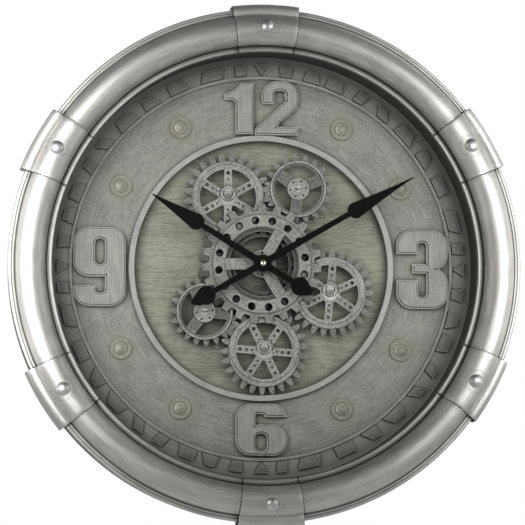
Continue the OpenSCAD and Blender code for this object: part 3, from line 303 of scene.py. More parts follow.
def silver(name, colours, rim_dirt_and_shade, strap):
    """Antique silver, brushed round the rim, with soiling and painted shade at the feet, grooves,
    strap edges and rivets, and edges lightened as worn metal and as a painted highlight.
    """
    f = Finish(name, metallic=0.94, roughness=0.4)
    radius, sine, cosine = f.round_about(MIDDLE)
    strokes = f.turned(MIDDLE, 0.1, 0.0011)
    coarse = f.turned(MIDDLE, 0.25, 0.005, 2.0)
    cloud = f.patches(0.035, 4.0)
    speckle = f.patches(0.0022, 2.0, 0.7)
    off = f.off_strap(sine, cosine)
    tone = strokes * 0.45 + coarse * 0.3 + cloud * 0.25
    tone = f.mix(f.step(tone, 0.36, 0.64), colours.silver_dark, colours.silver_light)
    if strap:
        from_rivet = f.from_mark(radius, off, RIVET_R)
        stain = f.band(from_rivet, *RIVET_STAIN) * f.step(speckle, 0.45, 0.62) * 0.35
        # Painted shade in a ring round the base of the rivet's head; the stain round it is dirt
        seat_shade = f.band(from_rivet, *RIVET_SEAT_SHADE) * 0.6
        grime_and_shade = stain + seat_shade
    else:
        # Painted shade, with some dirt, at the arch's feet and in the rim's grooves; the lip is
        # painted darker to dim its highlight
        side = abs(radius - ARCH_R) / ARCH_HALF
        foot_dirt_and_shade = f.band(side, 0.9, 1.09, 0.07)
        groove = sum(f.band(radius, *reach) * share for *reach, share in RIM_GROOVES)
        edge = STRAP_ANGLE / 2
        beside = f.step(off, edge - SEAM_SHADOW_ANGLE, edge) - f.step(off, edge, edge + STAIN_ANGLE)
        stain = beside * f.step(speckle * 0.55 + cloud * 0.45, 0.44, 0.6)
        # Painted shadow along the strap's edge on the rim
        seam_shadow = beside * (1 - f.step(off, edge, edge + SEAM_SHADOW_ANGLE))
        grime_and_shade = foot_dirt_and_shade * 0.85 + groove * 0.7 + stain * 0.4 + seam_shadow * 0.9
    grime_and_shade = (grime_and_shade * rim_dirt_and_shade + f.step(speckle, 0.62, 0.78) * 0.12).capped()
    tone = f.mix(grime_and_shade, tone, colours.grime_and_shade)
    # Edges lightened, partly as worn metal and partly as a painted highlight
    tone = f.mix(f.rubbed(0.0006) * 0.6, tone, colours.worn_and_highlit_edge)
    return f.done(tone, 0.41 + strokes * 0.16 + grime_and_shade * 0.25,
                  strokes * 0.6 + speckle * 0.4, 0.0002, 0.45)


def bright_metal(name, colour, roughness=0.22, dirt_and_shade=0.25, extra=None):
    """Turned or plated small metal with light scratches, patchy soiling and painted shade in
    corners.
    """
    f = Finish(name, metallic=1.0, roughness=roughness)
    cloud = f.patches(0.006)
    strokes = f.grain((0.01, 0.0006, 0.0006))
    # Painted shade in corners, added to the patches of dirt
    corner = 1 - f.step(f.hollows(0.0012), 0.4, 0.9)
    dirty_and_shaded = (f.step(cloud, 0.35, 0.75) * dirt_and_shade + corner * 0.6).capped()
    tone = f.mix(dirty_and_shaded, colour, shade(colour, 0.3))
    if extra:
        tone = extra(f, tone, cloud)
    return f.done(tone, roughness + strokes * 0.14, strokes, 0.0001, 0.2)


def dark_paint(name, colour, gloss=0.55):
    """Dark paint over sheet, slightly uneven."""
    f = Finish(name, metallic=0.2, roughness=gloss)
    cloud = f.patches(0.035, 4.0)
    fine = f.patches(0.0022, 2.0)
    return f.done(f.mix(cloud * 0.7 + fine * 0.3, shade(colour, 0.6), shade(colour, 1.35)),
                  gloss - 0.08 + cloud * 0.2, fine, 0.0001, 0.4)


def pewter(name, dark, light, grime_and_shade, strokes=None, reach=0.004, local=True, metallic=0.12,
           roughness=0.5, dirt_and_shade=0.85, edge_wear_and_highlight=0.35, extra=None):
    """Cast-look pewter: mottled, finely brushed, with painted shade and soiling in corners, and
    edges lightened as worn metal and as a painted highlight.
    """
    f = Finish(name, metallic=metallic, roughness=roughness)
    cloud = f.patches(0.028, 5.0, 0.65)
    fine = f.patches(0.0013, 2.0, 0.7)
    brushed = strokes(f) if strokes else f.patches(0.0024, 3.0, 0.7)
    tone = f.mix(f.step(cloud * 0.26 + brushed * 0.37 + fine * 0.37, 0.4, 0.6), dark, light)
    if extra:
        tone = extra(f, tone, cloud)
    # Painted shade in corners, from an ambient-occlusion node, made uneven with the cloud as dirt
    corner = 1 - f.step(f.hollows(reach, local), 0.3, 0.95)
    corner = (corner * dirt_and_shade * (0.6 + cloud * 0.8)).capped()
    # Edges lightened, partly as worn metal and partly as a painted highlight
    tone = f.mix(f.rubbed(0.0009) * edge_wear_and_highlight, tone, shade(light, 1.5))
    tone = f.mix(corner, tone, grime_and_shade)
    return f.done(tone, roughness - 0.06 + brushed * 0.14 + corner * 0.2,
                  brushed * 0.5 + fine * 0.5, 0.0003, 0.6)


def upright_strokes(f):
    """Brush strokes that run up and down, as on the numerals."""
    return f.grain((0.0011, 0.0011, 0.03))


def round_strokes(f):
    """Brush strokes that run round the dial."""
    return f.turned(MIDDLE, 0.13, 0.0013)


def from_hour_mark(f):
    """Radius on the dial, and distance from the nearest hour's mark."""
    radius, sine, cosine = f.round_about(MIDDLE)
    return radius, f.from_mark(radius, f.off_hour(sine, cosine), HOUR_R)


def dial_stains_and_rim_shade(stain):
    """Beige stains round the hour marks, and a rim of the dial darkened with dust and painted
    shade.
    """
    def add(f, tone, cloud):
        radius, away = from_hour_mark(f)
        uneven = (cloud - 0.5) * 0.03
        halo = (1 - f.step(away + uneven, 0.012, 0.026)) * 0.45
        worn = f.step(f.patches(0.009, 3.0, 0.7), 0.5, 0.7) * 0.18
        tone = f.mix((halo + worn).capped(), tone, stain)
        # Painted shade, with dust, towards the dial's rim under the well
        return f.mix(f.step(radius + uneven, *DIAL_RIM) * 0.4, tone, RIM_DUST_AND_SHADE)
    return add


def stud_rings(dark):
    """Dark lines round the base of each stud's dome and round its washer."""
    def add(f, tone, cloud):
        away = from_hour_mark(f)[1]
        lines = sum(f.band(away, *reach) * share for *reach, share in STUD_LINES)
        return f.mix(lines.capped(), tone, dark)
    return add


def band_shade(share):
    """Painted shade on the dial's outer band, deeper towards the well."""
    def add(f, tone, cloud):
        radius = f.round_about(MIDDLE)[0]
        # Painted shade, from the lip of the band out to the well
        depth = f.step(radius, *BAND_LIP) * 0.45 + f.step(radius, *BAND_FALL) * 0.55
        return f.mix(depth * share, tone, BAND_SHADE)
    return add


def line_at(centre, rings, dark):
    """Fine dark lines round a wheel at given radii and widths."""
    def add(f, tone, cloud):
        radius = f.round_about(centre)[0]
        lines = sum(f.band(radius, r - w / 2, r + w / 2, w * 0.35) for r, w in rings)
        return f.mix((lines * 0.93).capped(), tone, dark)
    return add


def dark_within(centre, reach, share, rings, dark):
    """Painted shade within a radius of a wheel, over its recessed middle, and fine dark lines on
    it.
    """
    def add(f, tone, cloud):
        radius = f.round_about(centre)[0]
        # Painted shade over the recessed middle, made uneven with the cloud
        dirty_and_shaded = (1 - f.step(radius, reach - 0.0015, reach)) * share
        tone = f.mix((dirty_and_shaded * (0.7 + cloud * 0.6)).capped(), tone, dark)
        return line_at(centre, rings, dark)(f, tone, cloud) if rings else tone
    return add


def matt_black(name, colour):
    """Matt black paint with a faint orange peel."""
    f = Finish(name, roughness=0.62)
    f.shader.inputs["Specular IOR Level"].default_value = 0.06
    fine = f.patches(0.0012, 2.0)
    cloud = f.patches(0.02)
    return f.done(f.mix(cloud, shade(colour, 0.7), shade(colour, 1.3)),
                  0.55 + fine * 0.2, fine, 0.00012, 0.5)


def moulded(name, colour):
    """Moulded plastic with a fine spark-eroded grain."""
    f = Finish(name, roughness=0.5)
    fine = f.patches(0.0009, 2.0)
    cloud = f.patches(0.012)
    return f.done(f.mix(cloud * 0.7 + fine * 0.3, shade(colour, 0.75), shade(colour, 1.3)),
                  0.4 + fine * 0.25, fine, 0.00015, 0.5)


def streaked_case(name, colour):
    """Brown moulded case whose front pad shows level brush streaks."""
    f = Finish(name, roughness=0.55)
    streak = f.grain((0.02, 0.0011, 0.0011), 3.0, 0.7)
    cloud = f.patches(0.01)
    light = f.mix(cloud, shade(colour, 1.6), shade(colour, 2.4))
    return f.done(f.mix(f.step(streak, 0.38, 0.64), shade(colour, 0.6), light),
                  0.45 + streak * 0.25, streak, 0.0002, 0.5)


def pressed_board(name, colour):
    """Dark-stained fibre board with short fibres and a scuffed face."""
    f = Finish(name, roughness=0.8)
    fibre = f.grain((0.006, 0.0009, 0.0009))
    crossed = f.grain((0.0008, 0.0008, 0.005))
    cloud = f.patches(0.06, 4.0)
    tone = fibre * 0.4 + crossed * 0.3 + cloud * 0.3
    return f.done(f.mix(f.step(tone, 0.3, 0.7), shade(colour, 0.55), shade(colour, 1.7)),
                  0.7 + fibre * 0.2, fibre + crossed, 0.0003, 0.6)


def streaked_plate(name, dark, light, grime_and_shade):
    """Champagne plate with level streaks like brushed ash, and painted shade close to the gears."""
    f = Finish(name, metallic=0.2, roughness=0.5)
    broad = f.grain((0.034, 0.0018, 0.0018), 4.0, 0.7, 0.25)
    narrow = f.grain((0.008, 0.0007, 0.0007), 2.0, 0.7)
    speckle = f.patches(0.0011, 2.0, 0.7)
    cloud = f.patches(0.05)
    grain = broad * 0.36 + narrow * 0.26 + speckle * 0.18 + cloud * 0.2
    tone = f.mix(f.step(grain, 0.42, 0.57), dark, light)
    dark_line = f.step(broad, 0.54, 0.7) * 0.5
    tone = f.mix(dark_line, tone, shade(dark, 0.45))
    # Painted shade on the plate close to the gears over it
    gear_shade = (1 - f.step(f.hollows(0.016, False), 0.3, 0.97)) * 0.85
    return f.done(f.mix(gear_shade, tone, grime_and_shade), 0.42 + broad * 0.18, grain, 0.0003, 0.5)


def wrapped_cell(name, colour, band):
    """Plain sleeve of a dry cell, in two tones that run into each other."""
    f = Finish(name, metallic=0.3, roughness=0.3)
    fine = f.patches(0.002, 2.0)
    cloud = f.patches(0.012)
    return f.done(f.mix(f.step(cloud, 0.4, 0.6), colour, band),
                  0.24 + fine * 0.12, fine, 0.00005, 0.3)


# Settings

def colour_setting(name, words, default):
    return bpy.props.FloatVectorProperty(name=name, description=words, subtype="COLOR", size=3,
                                         min=0.0, max=1.0, default=default)


def size_setting(name, words, default):
    return bpy.props.FloatProperty(name=name, description=words, default=default,
                                   min=default / 2, max=default * 2, unit="LENGTH", precision=5)


def angle_setting(name, words, degrees, reach):
    return bpy.props.FloatProperty(name=name, description=words, default=math.radians(degrees),
                                   min=-math.radians(reach), max=math.radians(reach),
                                   subtype="ANGLE")


def power_setting(name, words, default):
    return bpy.props.FloatProperty(name=name, description=words, default=default, min=0.0,
                                   max=500.0, unit="POWER")


class ClockColours(bpy.types.PropertyGroup):
    """Colours of the clock's finishes."""

    silver_light: colour_setting("Silver, light", "Rubbed tone of the rim", (0.6, 0.59, 0.565))
    silver_dark: colour_setting("Silver, dark", "Dull tone of the rim", (0.42, 0.412, 0.39))
    # Edges in this colour are partly worn metal and partly a painted highlight
    worn_and_highlit_edge: colour_setting("Rubbed edge", "Tone of rubbed edges", (0.8, 0.795, 0.78))
    # Dark colour of the rim's dirt and of its painted shade in grooves, at strap edges and round
    # rivets
    grime_and_shade: colour_setting("Grime", "Greyish dirt on the rim", (0.06, 0.058, 0.05))
    well: colour_setting("Well", "Wall of the well and the drum", (0.032, 0.032, 0.027))
    dial_light: colour_setting("Dial, light", "Rubbed tone of the dial", (0.34, 0.347, 0.308))
    dial_dark: colour_setting("Dial, dark", "Dull tone of the dial", (0.185, 0.19, 0.168))
    dial_stain: colour_setting("Dial stain", "Beige stain on the dial", (0.29, 0.275, 0.205))
    # Dark colour of the painted shade, with dirt, in the corners of the dial and the gears, and of
    # their fine dark lines
    dial_grime_and_shade: colour_setting("Dial grime", "Dirt in the dial's corners", (0.03, 0.03, 0.024))
    figure_light: colour_setting("Figure, light", "Rubbed tone of numerals", (0.4, 0.402, 0.365))
    figure_dark: colour_setting("Figure, dark", "Dull tone of numerals", (0.24, 0.242, 0.218))
    stud_light: colour_setting("Stud, light", "Light beige of the hour studs", (0.36, 0.355, 0.29))
    stud_dark: colour_setting("Stud, dark", "Dull beige of the hour studs", (0.22, 0.215, 0.17))
    window: colour_setting("Window ring", "Pale silver of the window ring", (0.5, 0.5, 0.465))
    plate_light: colour_setting("Plate, light", "Light streaks of the plate", (0.36, 0.372, 0.29))
    plate_dark: colour_setting("Plate, dark", "Dark streaks of the plate", (0.17, 0.175, 0.135))
    gear_light: colour_setting("Gear, light", "Rubbed tone of the gears", (0.43, 0.435, 0.4))
    gear_dark: colour_setting("Gear, dark", "Dull tone of the gears", (0.17, 0.172, 0.155))
    hand: colour_setting("Hands", "Matt black of the hands", (0.005, 0.005, 0.004))
    board: colour_setting("Back board", "Stain of the back board", (0.055, 0.038, 0.026))


class ClockSizes(bpy.types.PropertyGroup):
    """Sizes of the fine pieces."""

    rim_sheet: size_setting("Rim sheet", "Thickness of the rim's sheet", 0.0012)
    strap_sheet: size_setting("Strap sheet", "Thickness of the straps", 0.0014)
    strap_edge: size_setting("Strap edge", "Rounding of the straps' edges", 0.0003)
    slot_l: size_setting("Slot length", "Length of each slot in a screw's head", 0.0046)
    slot_w: size_setting("Slot width", "Width of each slot in a screw's head", 0.0009)
    slot_depth: size_setting("Slot depth", "Depth of the slots in a screw's head", 0.0009)
    crimp: size_setting("Crimp", "Rolled edge at the ends of a dry cell", 0.0006)


class ClockStage(bpy.types.PropertyGroup):
    """Camera, light, and the amount of soiling and painted shade on the rim."""

    azimuth: angle_setting("Azimuth", "Camera's turn off the front", -6.88, 180.0)
    elevation: angle_setting("Elevation", "Camera's height", -4.75, 90.0)
    distance: bpy.props.FloatProperty(name="Distance", description="Camera's distance",
                                      default=6.0, min=1.0, max=10.0, unit="LENGTH")
    key_power: power_setting("Key light", "Power of the upper light", 5.6)
    fill_power: power_setting("Fill light", "Power of the second light", 4.0)
    left_power: power_setting("Left light", "Power of the left light", 1.7)
    right_power: power_setting("Right light", "Power of the right light", 0.85)
    back_power: power_setting("Back light", "Power of the light behind", 16.0)
    # Amount of the rim's dirt and painted shade, together
    rim_dirt_and_shade: bpy.props.FloatProperty(name="Wear", description="Amount of dirt on the rim", default=0.9,
                                  min=0.0, max=1.5, subtype="FACTOR")


# Modelling

def select_only(*pieces):
    """Selects these pieces and makes the first one active."""
    bpy.ops.object.select_all(action="DESELECT")
    for piece in pieces:
        piece.select_set(True)
    bpy.context.view_layer.objects.active = pieces[0]


def start_piece(name, add, **settings):
    """Adds a primitive by itself and puts its place and turn into its mesh."""
    bpy.ops.object.select_all(action="DESELECT")
    add(**settings)
    piece = bpy.context.object
    piece.name = name
    bpy.ops.object.transform_apply(location=True, rotation=True, scale=True)
    return piece


class Shaping:
    """Edit mode on one piece, for as long as the block lasts."""

    def __init__(self, piece):
        self.piece = piece

    def __enter__(self):
        select_only(self.piece)
        bpy.ops.object.mode_set(mode="EDIT")
        bpy.ops.mesh.select_mode(type="VERT")
        return self

    def __exit__(self, kind, value, trace):
        bpy.ops.object.mode_set(mode="OBJECT")
        return False

    def all(self):
        bpy.ops.mesh.select_all(action="SELECT")

    def corners(self, test):
        """Selects the corners whose place passes the test."""
        bpy.ops.mesh.select_mode(type="VERT")
        bpy.ops.mesh.select_all(action="DESELECT")
        form = bmesh.from_edit_mesh(self.piece.data)
        found = [corner for corner in form.verts if test(corner.co)]
        if not found:
            raise RuntimeError(f"{self.piece.name}: no corner where one is expected")
        for corner in found:
            corner.select_set(True)
        form.select_flush_mode()
        bmesh.update_edit_mesh(self.piece.data)

    def faces(self, test):
        """Selects the faces whose middle and normal pass the test."""
        bpy.ops.mesh.select_mode(type="FACE")
        bpy.ops.mesh.select_all(action="DESELECT")
        form = bmesh.from_edit_mesh(self.piece.data)
        found = [face for face in form.faces if test(face.calc_center_median(), face.normal)]
        if not found:
            raise RuntimeError(f"{self.piece.name}: no face where one is expected")
        for face in found:
            face.select_set(True)
        bmesh.update_edit_mesh(self.piece.data)

    def cut(self, point, normal):
        """Takes away what lies beyond a plane."""
        self.all()
        bpy.ops.mesh.bisect(plane_co=point, plane_no=normal, threshold=MERGE, clear_outer=True)

    def draw(self, move):
        """Draws the selected corners out into edges, or edges into faces."""
        bpy.ops.mesh.extrude_vertices_move(TRANSFORM_OT_translate={"value": move})

    def push(self, move):
        """Pushes the selected faces out or in."""
        bpy.ops.mesh.extrude_region_move(TRANSFORM_OT_translate={"value": move})

    def turn(self, steps, angle, centre, axis):
        """Spins what is selected, right-handed about the axis, which the tool takes reversed."""
        bpy.ops.mesh.spin(steps=steps, angle=-math.radians(angle), center=centre, axis=axis)

    def close(self):
        """Merges doubles and turns every face outwards."""
        self.all()
        bpy.ops.mesh.remove_doubles(threshold=MERGE)
        bpy.ops.mesh.normals_make_consistent(inside=False)


def modify(piece, kind, **settings):
    """Adds a modifier and applies it."""
    select_only(piece)
    made = piece.modifiers.new(kind.lower(), kind)
    for key, value in settings.items():
        setattr(made, key, value)
    bpy.ops.object.modifier_apply(modifier=made.name)


def smooth(piece, angle=35.0):
    """Shades a piece smooth, but for edges sharper than the angle in degrees."""
    select_only(piece)
    bpy.ops.object.shade_smooth_by_angle(angle=math.radians(angle))


def merge(first, *others):
    """Makes one piece of several."""
    select_only(first, *others)
    bpy.ops.object.join()
    return first


def face_room(shell):
    """Turns an open shell so that its outer side faces the room."""
    crown = max(shell.data.polygons, key=lambda face: -face.center.y)
    if crown.normal.y > 0:
        shell.data.flip_normals()


def copies(piece, places):
    """Copies a piece to each place, every copy with its own mesh, and deletes the model."""
    made = []
    for number, place in enumerate(places, 1):
        mesh = piece.data.copy()
        mesh.transform(place)
        copy = bpy.data.objects.new(f"{piece.name}_{number}", mesh)
        bpy.context.collection.objects.link(copy)
        made.append(copy)
    bpy.data.objects.remove(piece)
    return made


def settle(piece, material, body, slot=None, *nodes):
    """Gives a new piece its finish and its body, and hides the CAD nodes that it stands for."""
    piece.data.materials.clear()
    piece.data.materials.append(material)
    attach(piece, body)
    if nodes:
        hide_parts(*nodes)


def round_clock(angle):
    """Turns a piece clockwise round the clock's axis, as seen from the front."""
    return Matrix.Rotation(math.radians(angle), 4, "Y")


# Pieces and their finishes

class ClockOperator:
    """What the clock's operators share."""

    bl_options = {"REGISTER", "UNDO"}

    @property
    def colours(self):
        return bpy.context.scene.clock_colours

    @property
    def sizes(self):
        return bpy.context.scene.clock_sizes

    @property
    def stage(self):
        return bpy.context.scene.clock_stage


class SpinRim(ClockOperator, bpy.types.Operator):
    """Spins the rim: its arch with both feet, its rolled bead and its inner lip."""

    bl_idname = "clock.spin_rim"
    bl_label = "Rim"

    lip_h = 0.008
    lip_sink = 0.002
    lip_edge = 0.0003

    def execute(self, context):
        sheet = self.sizes.rim_sheet
        rim = start_piece("rim", bpy.ops.mesh.primitive_circle_add, vertices=96,
                          radius=ARCH_BALL_R, location=(ARCH_R, -ARCH_BALL_H, 0))
        with Shaping(rim) as form:
            form.cut((0, -RIM_BASE_H, 0), (0, 1, 0))
            form.corners(lambda co: co.x < ARCH_R - 0.999 * ARCH_HALF)
            form.draw((LIP_R + sheet / 2 - ARCH_R + ARCH_HALF, 0, 0))
            form.corners(lambda co: co.x > ARCH_R + 0.999 * ARCH_HALF)
            form.draw((BEAD_MID_R - ARCH_R - ARCH_HALF, 0, 0))
            form.all()
            form.turn(RIM_STEPS, 360, (0, 0, 0), FACE_AXIS)
            form.close()
        face_room(rim)
        modify(rim, "SOLIDIFY", thickness=sheet, offset=-1.0)
        bead = start_piece("bead", bpy.ops.mesh.primitive_circle_add, vertices=24, radius=BEAD_R,
                           location=(BEAD_MID_R, -BEAD_H, 0))
        lip = start_piece("lip", bpy.ops.mesh.primitive_plane_add, size=1.0)
        with Shaping(lip) as form:
            form.all()
            bpy.ops.transform.resize(value=(sheet, self.lip_h, 1))
            bpy.ops.transform.translate(value=(LIP_R + sheet / 2, -RIM_BASE_H + self.lip_sink, 0))
            bpy.ops.mesh.bevel(offset=self.lip_edge, segments=3, affect="VERTICES")
            bpy.ops.mesh.select_all(action="SELECT")
            bpy.ops.mesh.delete(type="ONLY_FACE")
        for ring in (bead, lip):
            with Shaping(ring) as form:
                form.all()
                form.turn(RIM_STEPS, 360, (0, 0, 0), FACE_AXIS)
                form.close()
        rim = merge(rim, bead, lip)
        smooth(rim)
        finish = silver("rim silver", self.colours, self.stage.rim_dirt_and_shade, False)
        settle(rim, finish, "case", "rim_metal", "rim_ring")
        return {"FINISHED"}


class BendStraps(ClockOperator, bpy.types.Operator):
    """Bends one strap over the arch and the bead, and copies it round the rim."""

    bl_idname = "clock.bend_straps"
    bl_label = "Straps and rivets"

    def execute(self, context):
        strap = start_piece("strap", bpy.ops.mesh.primitive_circle_add, vertices=120,
                            radius=STRAP_BALL_R, location=(ARCH_R, -ARCH_BALL_H, 0))
        bend = (STRAP_BEND_MID_R, -BEAD_H, 0)
        meet_h = ARCH_BALL_H + math.sqrt(STRAP_BALL_R ** 2 - (STRAP_MEET_R - ARCH_R) ** 2)
        bend_angle = math.degrees(math.atan2(meet_h - BEAD_H, STRAP_MEET_R - STRAP_BEND_MID_R))
        with Shaping(strap) as form:
            form.cut((0, -RIM_BASE_H, 0), (0, 1, 0))
            form.cut((STRAP_IN_R, 0, 0), (-1, 0, 0))
            form.cut((STRAP_MEET_R, 0, 0), (1, 0, 0))
            form.corners(lambda co: co.x > STRAP_MEET_R - NEAR)
            form.turn(12, bend_angle, bend, SECTION_AXIS)
            out = STRAP_BEND_MID_R + STRAP_BEND_R
            form.corners(lambda co: co.x > out - NEAR)
            form.draw((0, BEAD_H - STRAP_FOOT_H, 0))
            form.corners(lambda co: co.y > -STRAP_FOOT_H - NEAR)
            form.draw((STRAP_FOOT_R - out, 0, 0))
            form.all()
            form.turn(14, STRAP_ANGLE, (0, 0, 0), FACE_AXIS)
            form.close()
        face_room(strap)
        modify(strap, "SOLIDIFY", thickness=self.sizes.strap_sheet, offset=-1.0,
               use_even_offset=True)
        modify(strap, "BEVEL", width=self.sizes.strap_edge, segments=2, limit_method="ANGLE",
               angle_limit=math.radians(50))
        smooth(strap)
        finish = silver("strap silver", self.colours, self.stage.rim_dirt_and_shade, True)
        middle = -90 - STRAP_ANGLE / 2
        places = [round_clock(middle + place) for place in STRAP_PLACES]
        for piece in copies(strap, places):
            settle(piece, finish, "case", "strap_metal", "rim_straps")
        paint(bright_metal("rivet", (0.62, 0.615, 0.6), 0.34, 0.4), "strap_rivets")
        return {"FINISHED"}


class FinishCase(ClockOperator, bpy.types.Operator):
    """Finishes the drum, the well, the board and the hanger."""

    bl_idname = "clock.finish_case"
    bl_label = "Drum, well and back"

    def execute(self, context):
        paint(dark_paint("well paint", self.colours.well, 0.5), "well_wall")
        paint(dark_paint("drum paint", shade(self.colours.well, 1.6), 0.45), "side_drum")
        paint(pressed_board("back board", self.colours.board), "back_panel")
        paint(bright_metal("hanger zinc", (0.55, 0.56, 0.57), 0.36), "hanger_plate")
        return {"FINISHED"}


class CutScrews(ClockOperator, bpy.types.Operator):
    """Makes a cross-recessed screw and copies it round the board."""

    bl_idname = "clock.cut_screws"
    bl_label = "Board screws"

    shank_r = 0.002
    shank_l = 0.0064
    point_l = 0.0005
    head_edge = 0.0004
    slot_edge = 0.00015

    def execute(self, context):
        screw = start_piece("panel_screw", bpy.ops.mesh.primitive_cylinder_add, vertices=40,
                            radius=SCREW_HEAD_R, depth=SCREW_HEAD_T,
                            rotation=(math.pi / 2, 0, 0), location=(0, -SCREW_HEAD_T / 2, 0))
        with Shaping(screw) as form:
            form.faces(lambda middle, normal: normal.y > 0.9)
            bpy.ops.mesh.bevel(offset=self.head_edge, segments=3, affect="EDGES")
            form.faces(lambda middle, normal: normal.y < -0.9)
            bpy.ops.mesh.inset(thickness=SCREW_HEAD_R - self.shank_r, depth=0)
            form.push((0, -self.shank_l, 0))
            bpy.ops.mesh.inset(thickness=self.shank_r / 2, depth=self.point_l)
        long, wide, deep = self.sizes.slot_l, self.sizes.slot_w, self.sizes.slot_depth
        for across, up in ((long, wide), (wide, long)):
            cutter = start_piece("cutter", bpy.ops.mesh.primitive_cube_add, size=1.0)
            with Shaping(cutter) as form:
                form.all()
                bpy.ops.transform.resize(value=(across, 2 * deep, up))
                bpy.ops.mesh.bevel(offset=self.slot_edge, segments=1, affect="EDGES")
            modify(screw, "BOOLEAN", operation="DIFFERENCE", object=cutter, solver="EXACT")
            bpy.data.objects.remove(cutter)
        smooth(screw, 30)
        finish = bright_metal("screw zinc", (0.6, 0.6, 0.58), 0.32)
        lift = Matrix.Translation((0, 0, SCREW_POS_R))
        step = 360 / SCREW_COUNT
        places = [round_clock(step / 2 + step * k) @ lift for k in range(SCREW_COUNT)]
        for piece in copies(screw, places):
            settle(piece, finish, "case", None, "panel_screws")
        return {"FINISHED"}


class FinishDial(ClockOperator, bpy.types.Operator):
    """Finishes the dial, its band, numerals, studs and window ring."""

    bl_idname = "clock.finish_dial"
    bl_label = "Dial and numerals"

    def execute(self, context):
        c = self.colours
        grime_and_shade = c.dial_grime_and_shade
        paint(pewter("dial pewter", c.dial_dark, c.dial_light, grime_and_shade, round_strokes, 0.009, False,
                     dirt_and_shade=0.9, extra=dial_stains_and_rim_shade(c.dial_stain)), "dial_plate")
        paint(pewter("band pewter", c.dial_dark, c.dial_light, grime_and_shade, round_strokes, 0.004,
                     dirt_and_shade=1.6, edge_wear_and_highlight=0.5, extra=band_shade(0.8)), "block_band")
        paint(pewter("numeral pewter", c.figure_dark, c.figure_light, grime_and_shade, upright_strokes,
                     0.003, dirt_and_shade=1.3, edge_wear_and_highlight=0.9),
              "numeral_12", "numeral_3", "numeral_6", "numeral_9")
        paint(pewter("stud pewter", c.stud_dark, c.stud_light, grime_and_shade, None, 0.003, False,
                     dirt_and_shade=1.0, edge_wear_and_highlight=0.6, extra=stud_rings(shade(grime_and_shade, 2.0))),
              "stud_washers", "stud_domes")
        paint(pewter("window silver", shade(c.window, 0.66), shade(c.window, 0.92), grime_and_shade,
                     round_strokes, 0.002, metallic=0.3, roughness=0.42), "window_ring")
        paint(streaked_plate("gear plate", c.plate_dark, c.plate_light, grime_and_shade), "gear_plate")
        return {"FINISHED"}


class FinishGears(ClockOperator, bpy.types.Operator):
    """Finishes the gears, rings, bearings, posts and screws."""

    bl_idname = "clock.finish_gears"
    bl_label = "Gears"

    # Fine dark lines: radius and width
    centre_lines = ((0.0577, 0.0017), (0.0437, 0.0009))
    front_lines = ((0.0577, 0.0017), (0.0415, 0.0008), (0.0398, 0.0006))
    inner_lines = ((0.0378, 0.0009), (0.0345, 0.0009))
    # On a large gear's ring, the last line is a painted shadow round its bearing
    large_lines = ((0.0412, 0.0011), (0.0345, 0.0008), (0.0097, 0.0022))
    small_lines = ((0.0305, 0.0008),)
    # Round each bearing: a dark line at its groove, and outside it a painted shadow ring
    bearing_lines = ((0.0052, 0.0022), (0.0087, 0.0012))

    # Shares of the dark and the light tone, from the front of the stack to its back: the deeper
    # wheels get darker copies of the pewter, as painted shade
    front_tone = (1.0, 1.0)
    ring_tone = (1.0, 1.05)
    wheel_tone = (0.85, 0.85)
    gear_tone = (0.65, 0.75)
    rear_tone = (0.5, 0.55)

    def execute(self, context):
        grime_and_shade = self.colours.dial_grime_and_shade
        self.cast("gear pewter", self.gear_tone, 0.007, 1.5, 0.6,
                  ("centre_hub", "gear_1", "gear_3", "gear_4"))
        self.cast("rear pewter", self.rear_tone, 0.008, 1.0, 0.35, ("rear_wheel",))
        self.cast("inner pewter", self.gear_tone, 0.008, 1.4, 0.3,
                  ("lower_centre_gear", "upper_centre_gear"),
                  dark_within(ARBOR, 0.0435, 0.8, self.inner_lines, grime_and_shade))
        self.cast("front pewter", self.wheel_tone, 0.006, 1.5, 0.6, ("front_wheel",),
                  dark_within(ARBOR, 0.0436, 0.75, self.front_lines, grime_and_shade))
        self.cast("centre pewter", self.front_tone, 0.005, 1.4, 0.7, ("centre_ring",),
                  line_at(ARBOR, self.centre_lines, grime_and_shade))
        for number, middle in GEAR_CENTRES.items():
            self.finish_satellite(number, middle, grime_and_shade)
        paint(bright_metal("post steel", (0.42, 0.42, 0.39), 0.26, 0.4), "post_screws",
              "gear_posts", "plate_pillars")
        paint(bright_metal("turned brass", (0.5, 0.4, 0.2), 0.3), "centre_sleeve",
              "plate_bearing")
        paint(bright_metal("nut pewter", (0.3, 0.3, 0.27), 0.36), "bush_nut")
        return {"FINISHED"}

    def cast(self, name, tone, reach, dirt_and_shade, edge_wear_and_highlight, nodes, extra=None):
        """Finishes wheels in cast pewter, with painted shade and soiling within reach of what
        stands over them.
        """
        dark, light = self.colours.gear_dark, self.colours.gear_light
        paint(pewter(name, shade(dark, tone[0]), shade(light, tone[1]), self.colours.dial_grime_and_shade,
                     None, reach, False, dirt_and_shade=dirt_and_shade, edge_wear_and_highlight=edge_wear_and_highlight, extra=extra), *nodes)

    def finish_satellite(self, number, middle, grime_and_shade):
        large = number in LARGE_GEARS
        lines = self.large_lines if large else self.small_lines
        self.cast(f"ring pewter {number}", self.ring_tone, 0.005, 1.5, 0.7,
                  (f"gear_{number}_ring",), line_at(middle, lines, grime_and_shade))
        steel = bright_metal(f"bearing steel {number}", (0.78, 0.78, 0.73), 0.3, 0.2,
                             extra=line_at(middle, self.bearing_lines, grime_and_shade))
        paint(steel, f"gear_{number}_bearing" if large else f"gear_{number}_shaft")
        if not large:
            self.cast(f"spoke pewter {number}", self.gear_tone, 0.007, 1.5, 0.6,
                      (f"gear_{number}",),
                      dark_within(middle, 0.0295, 0.35, (), grime_and_shade))


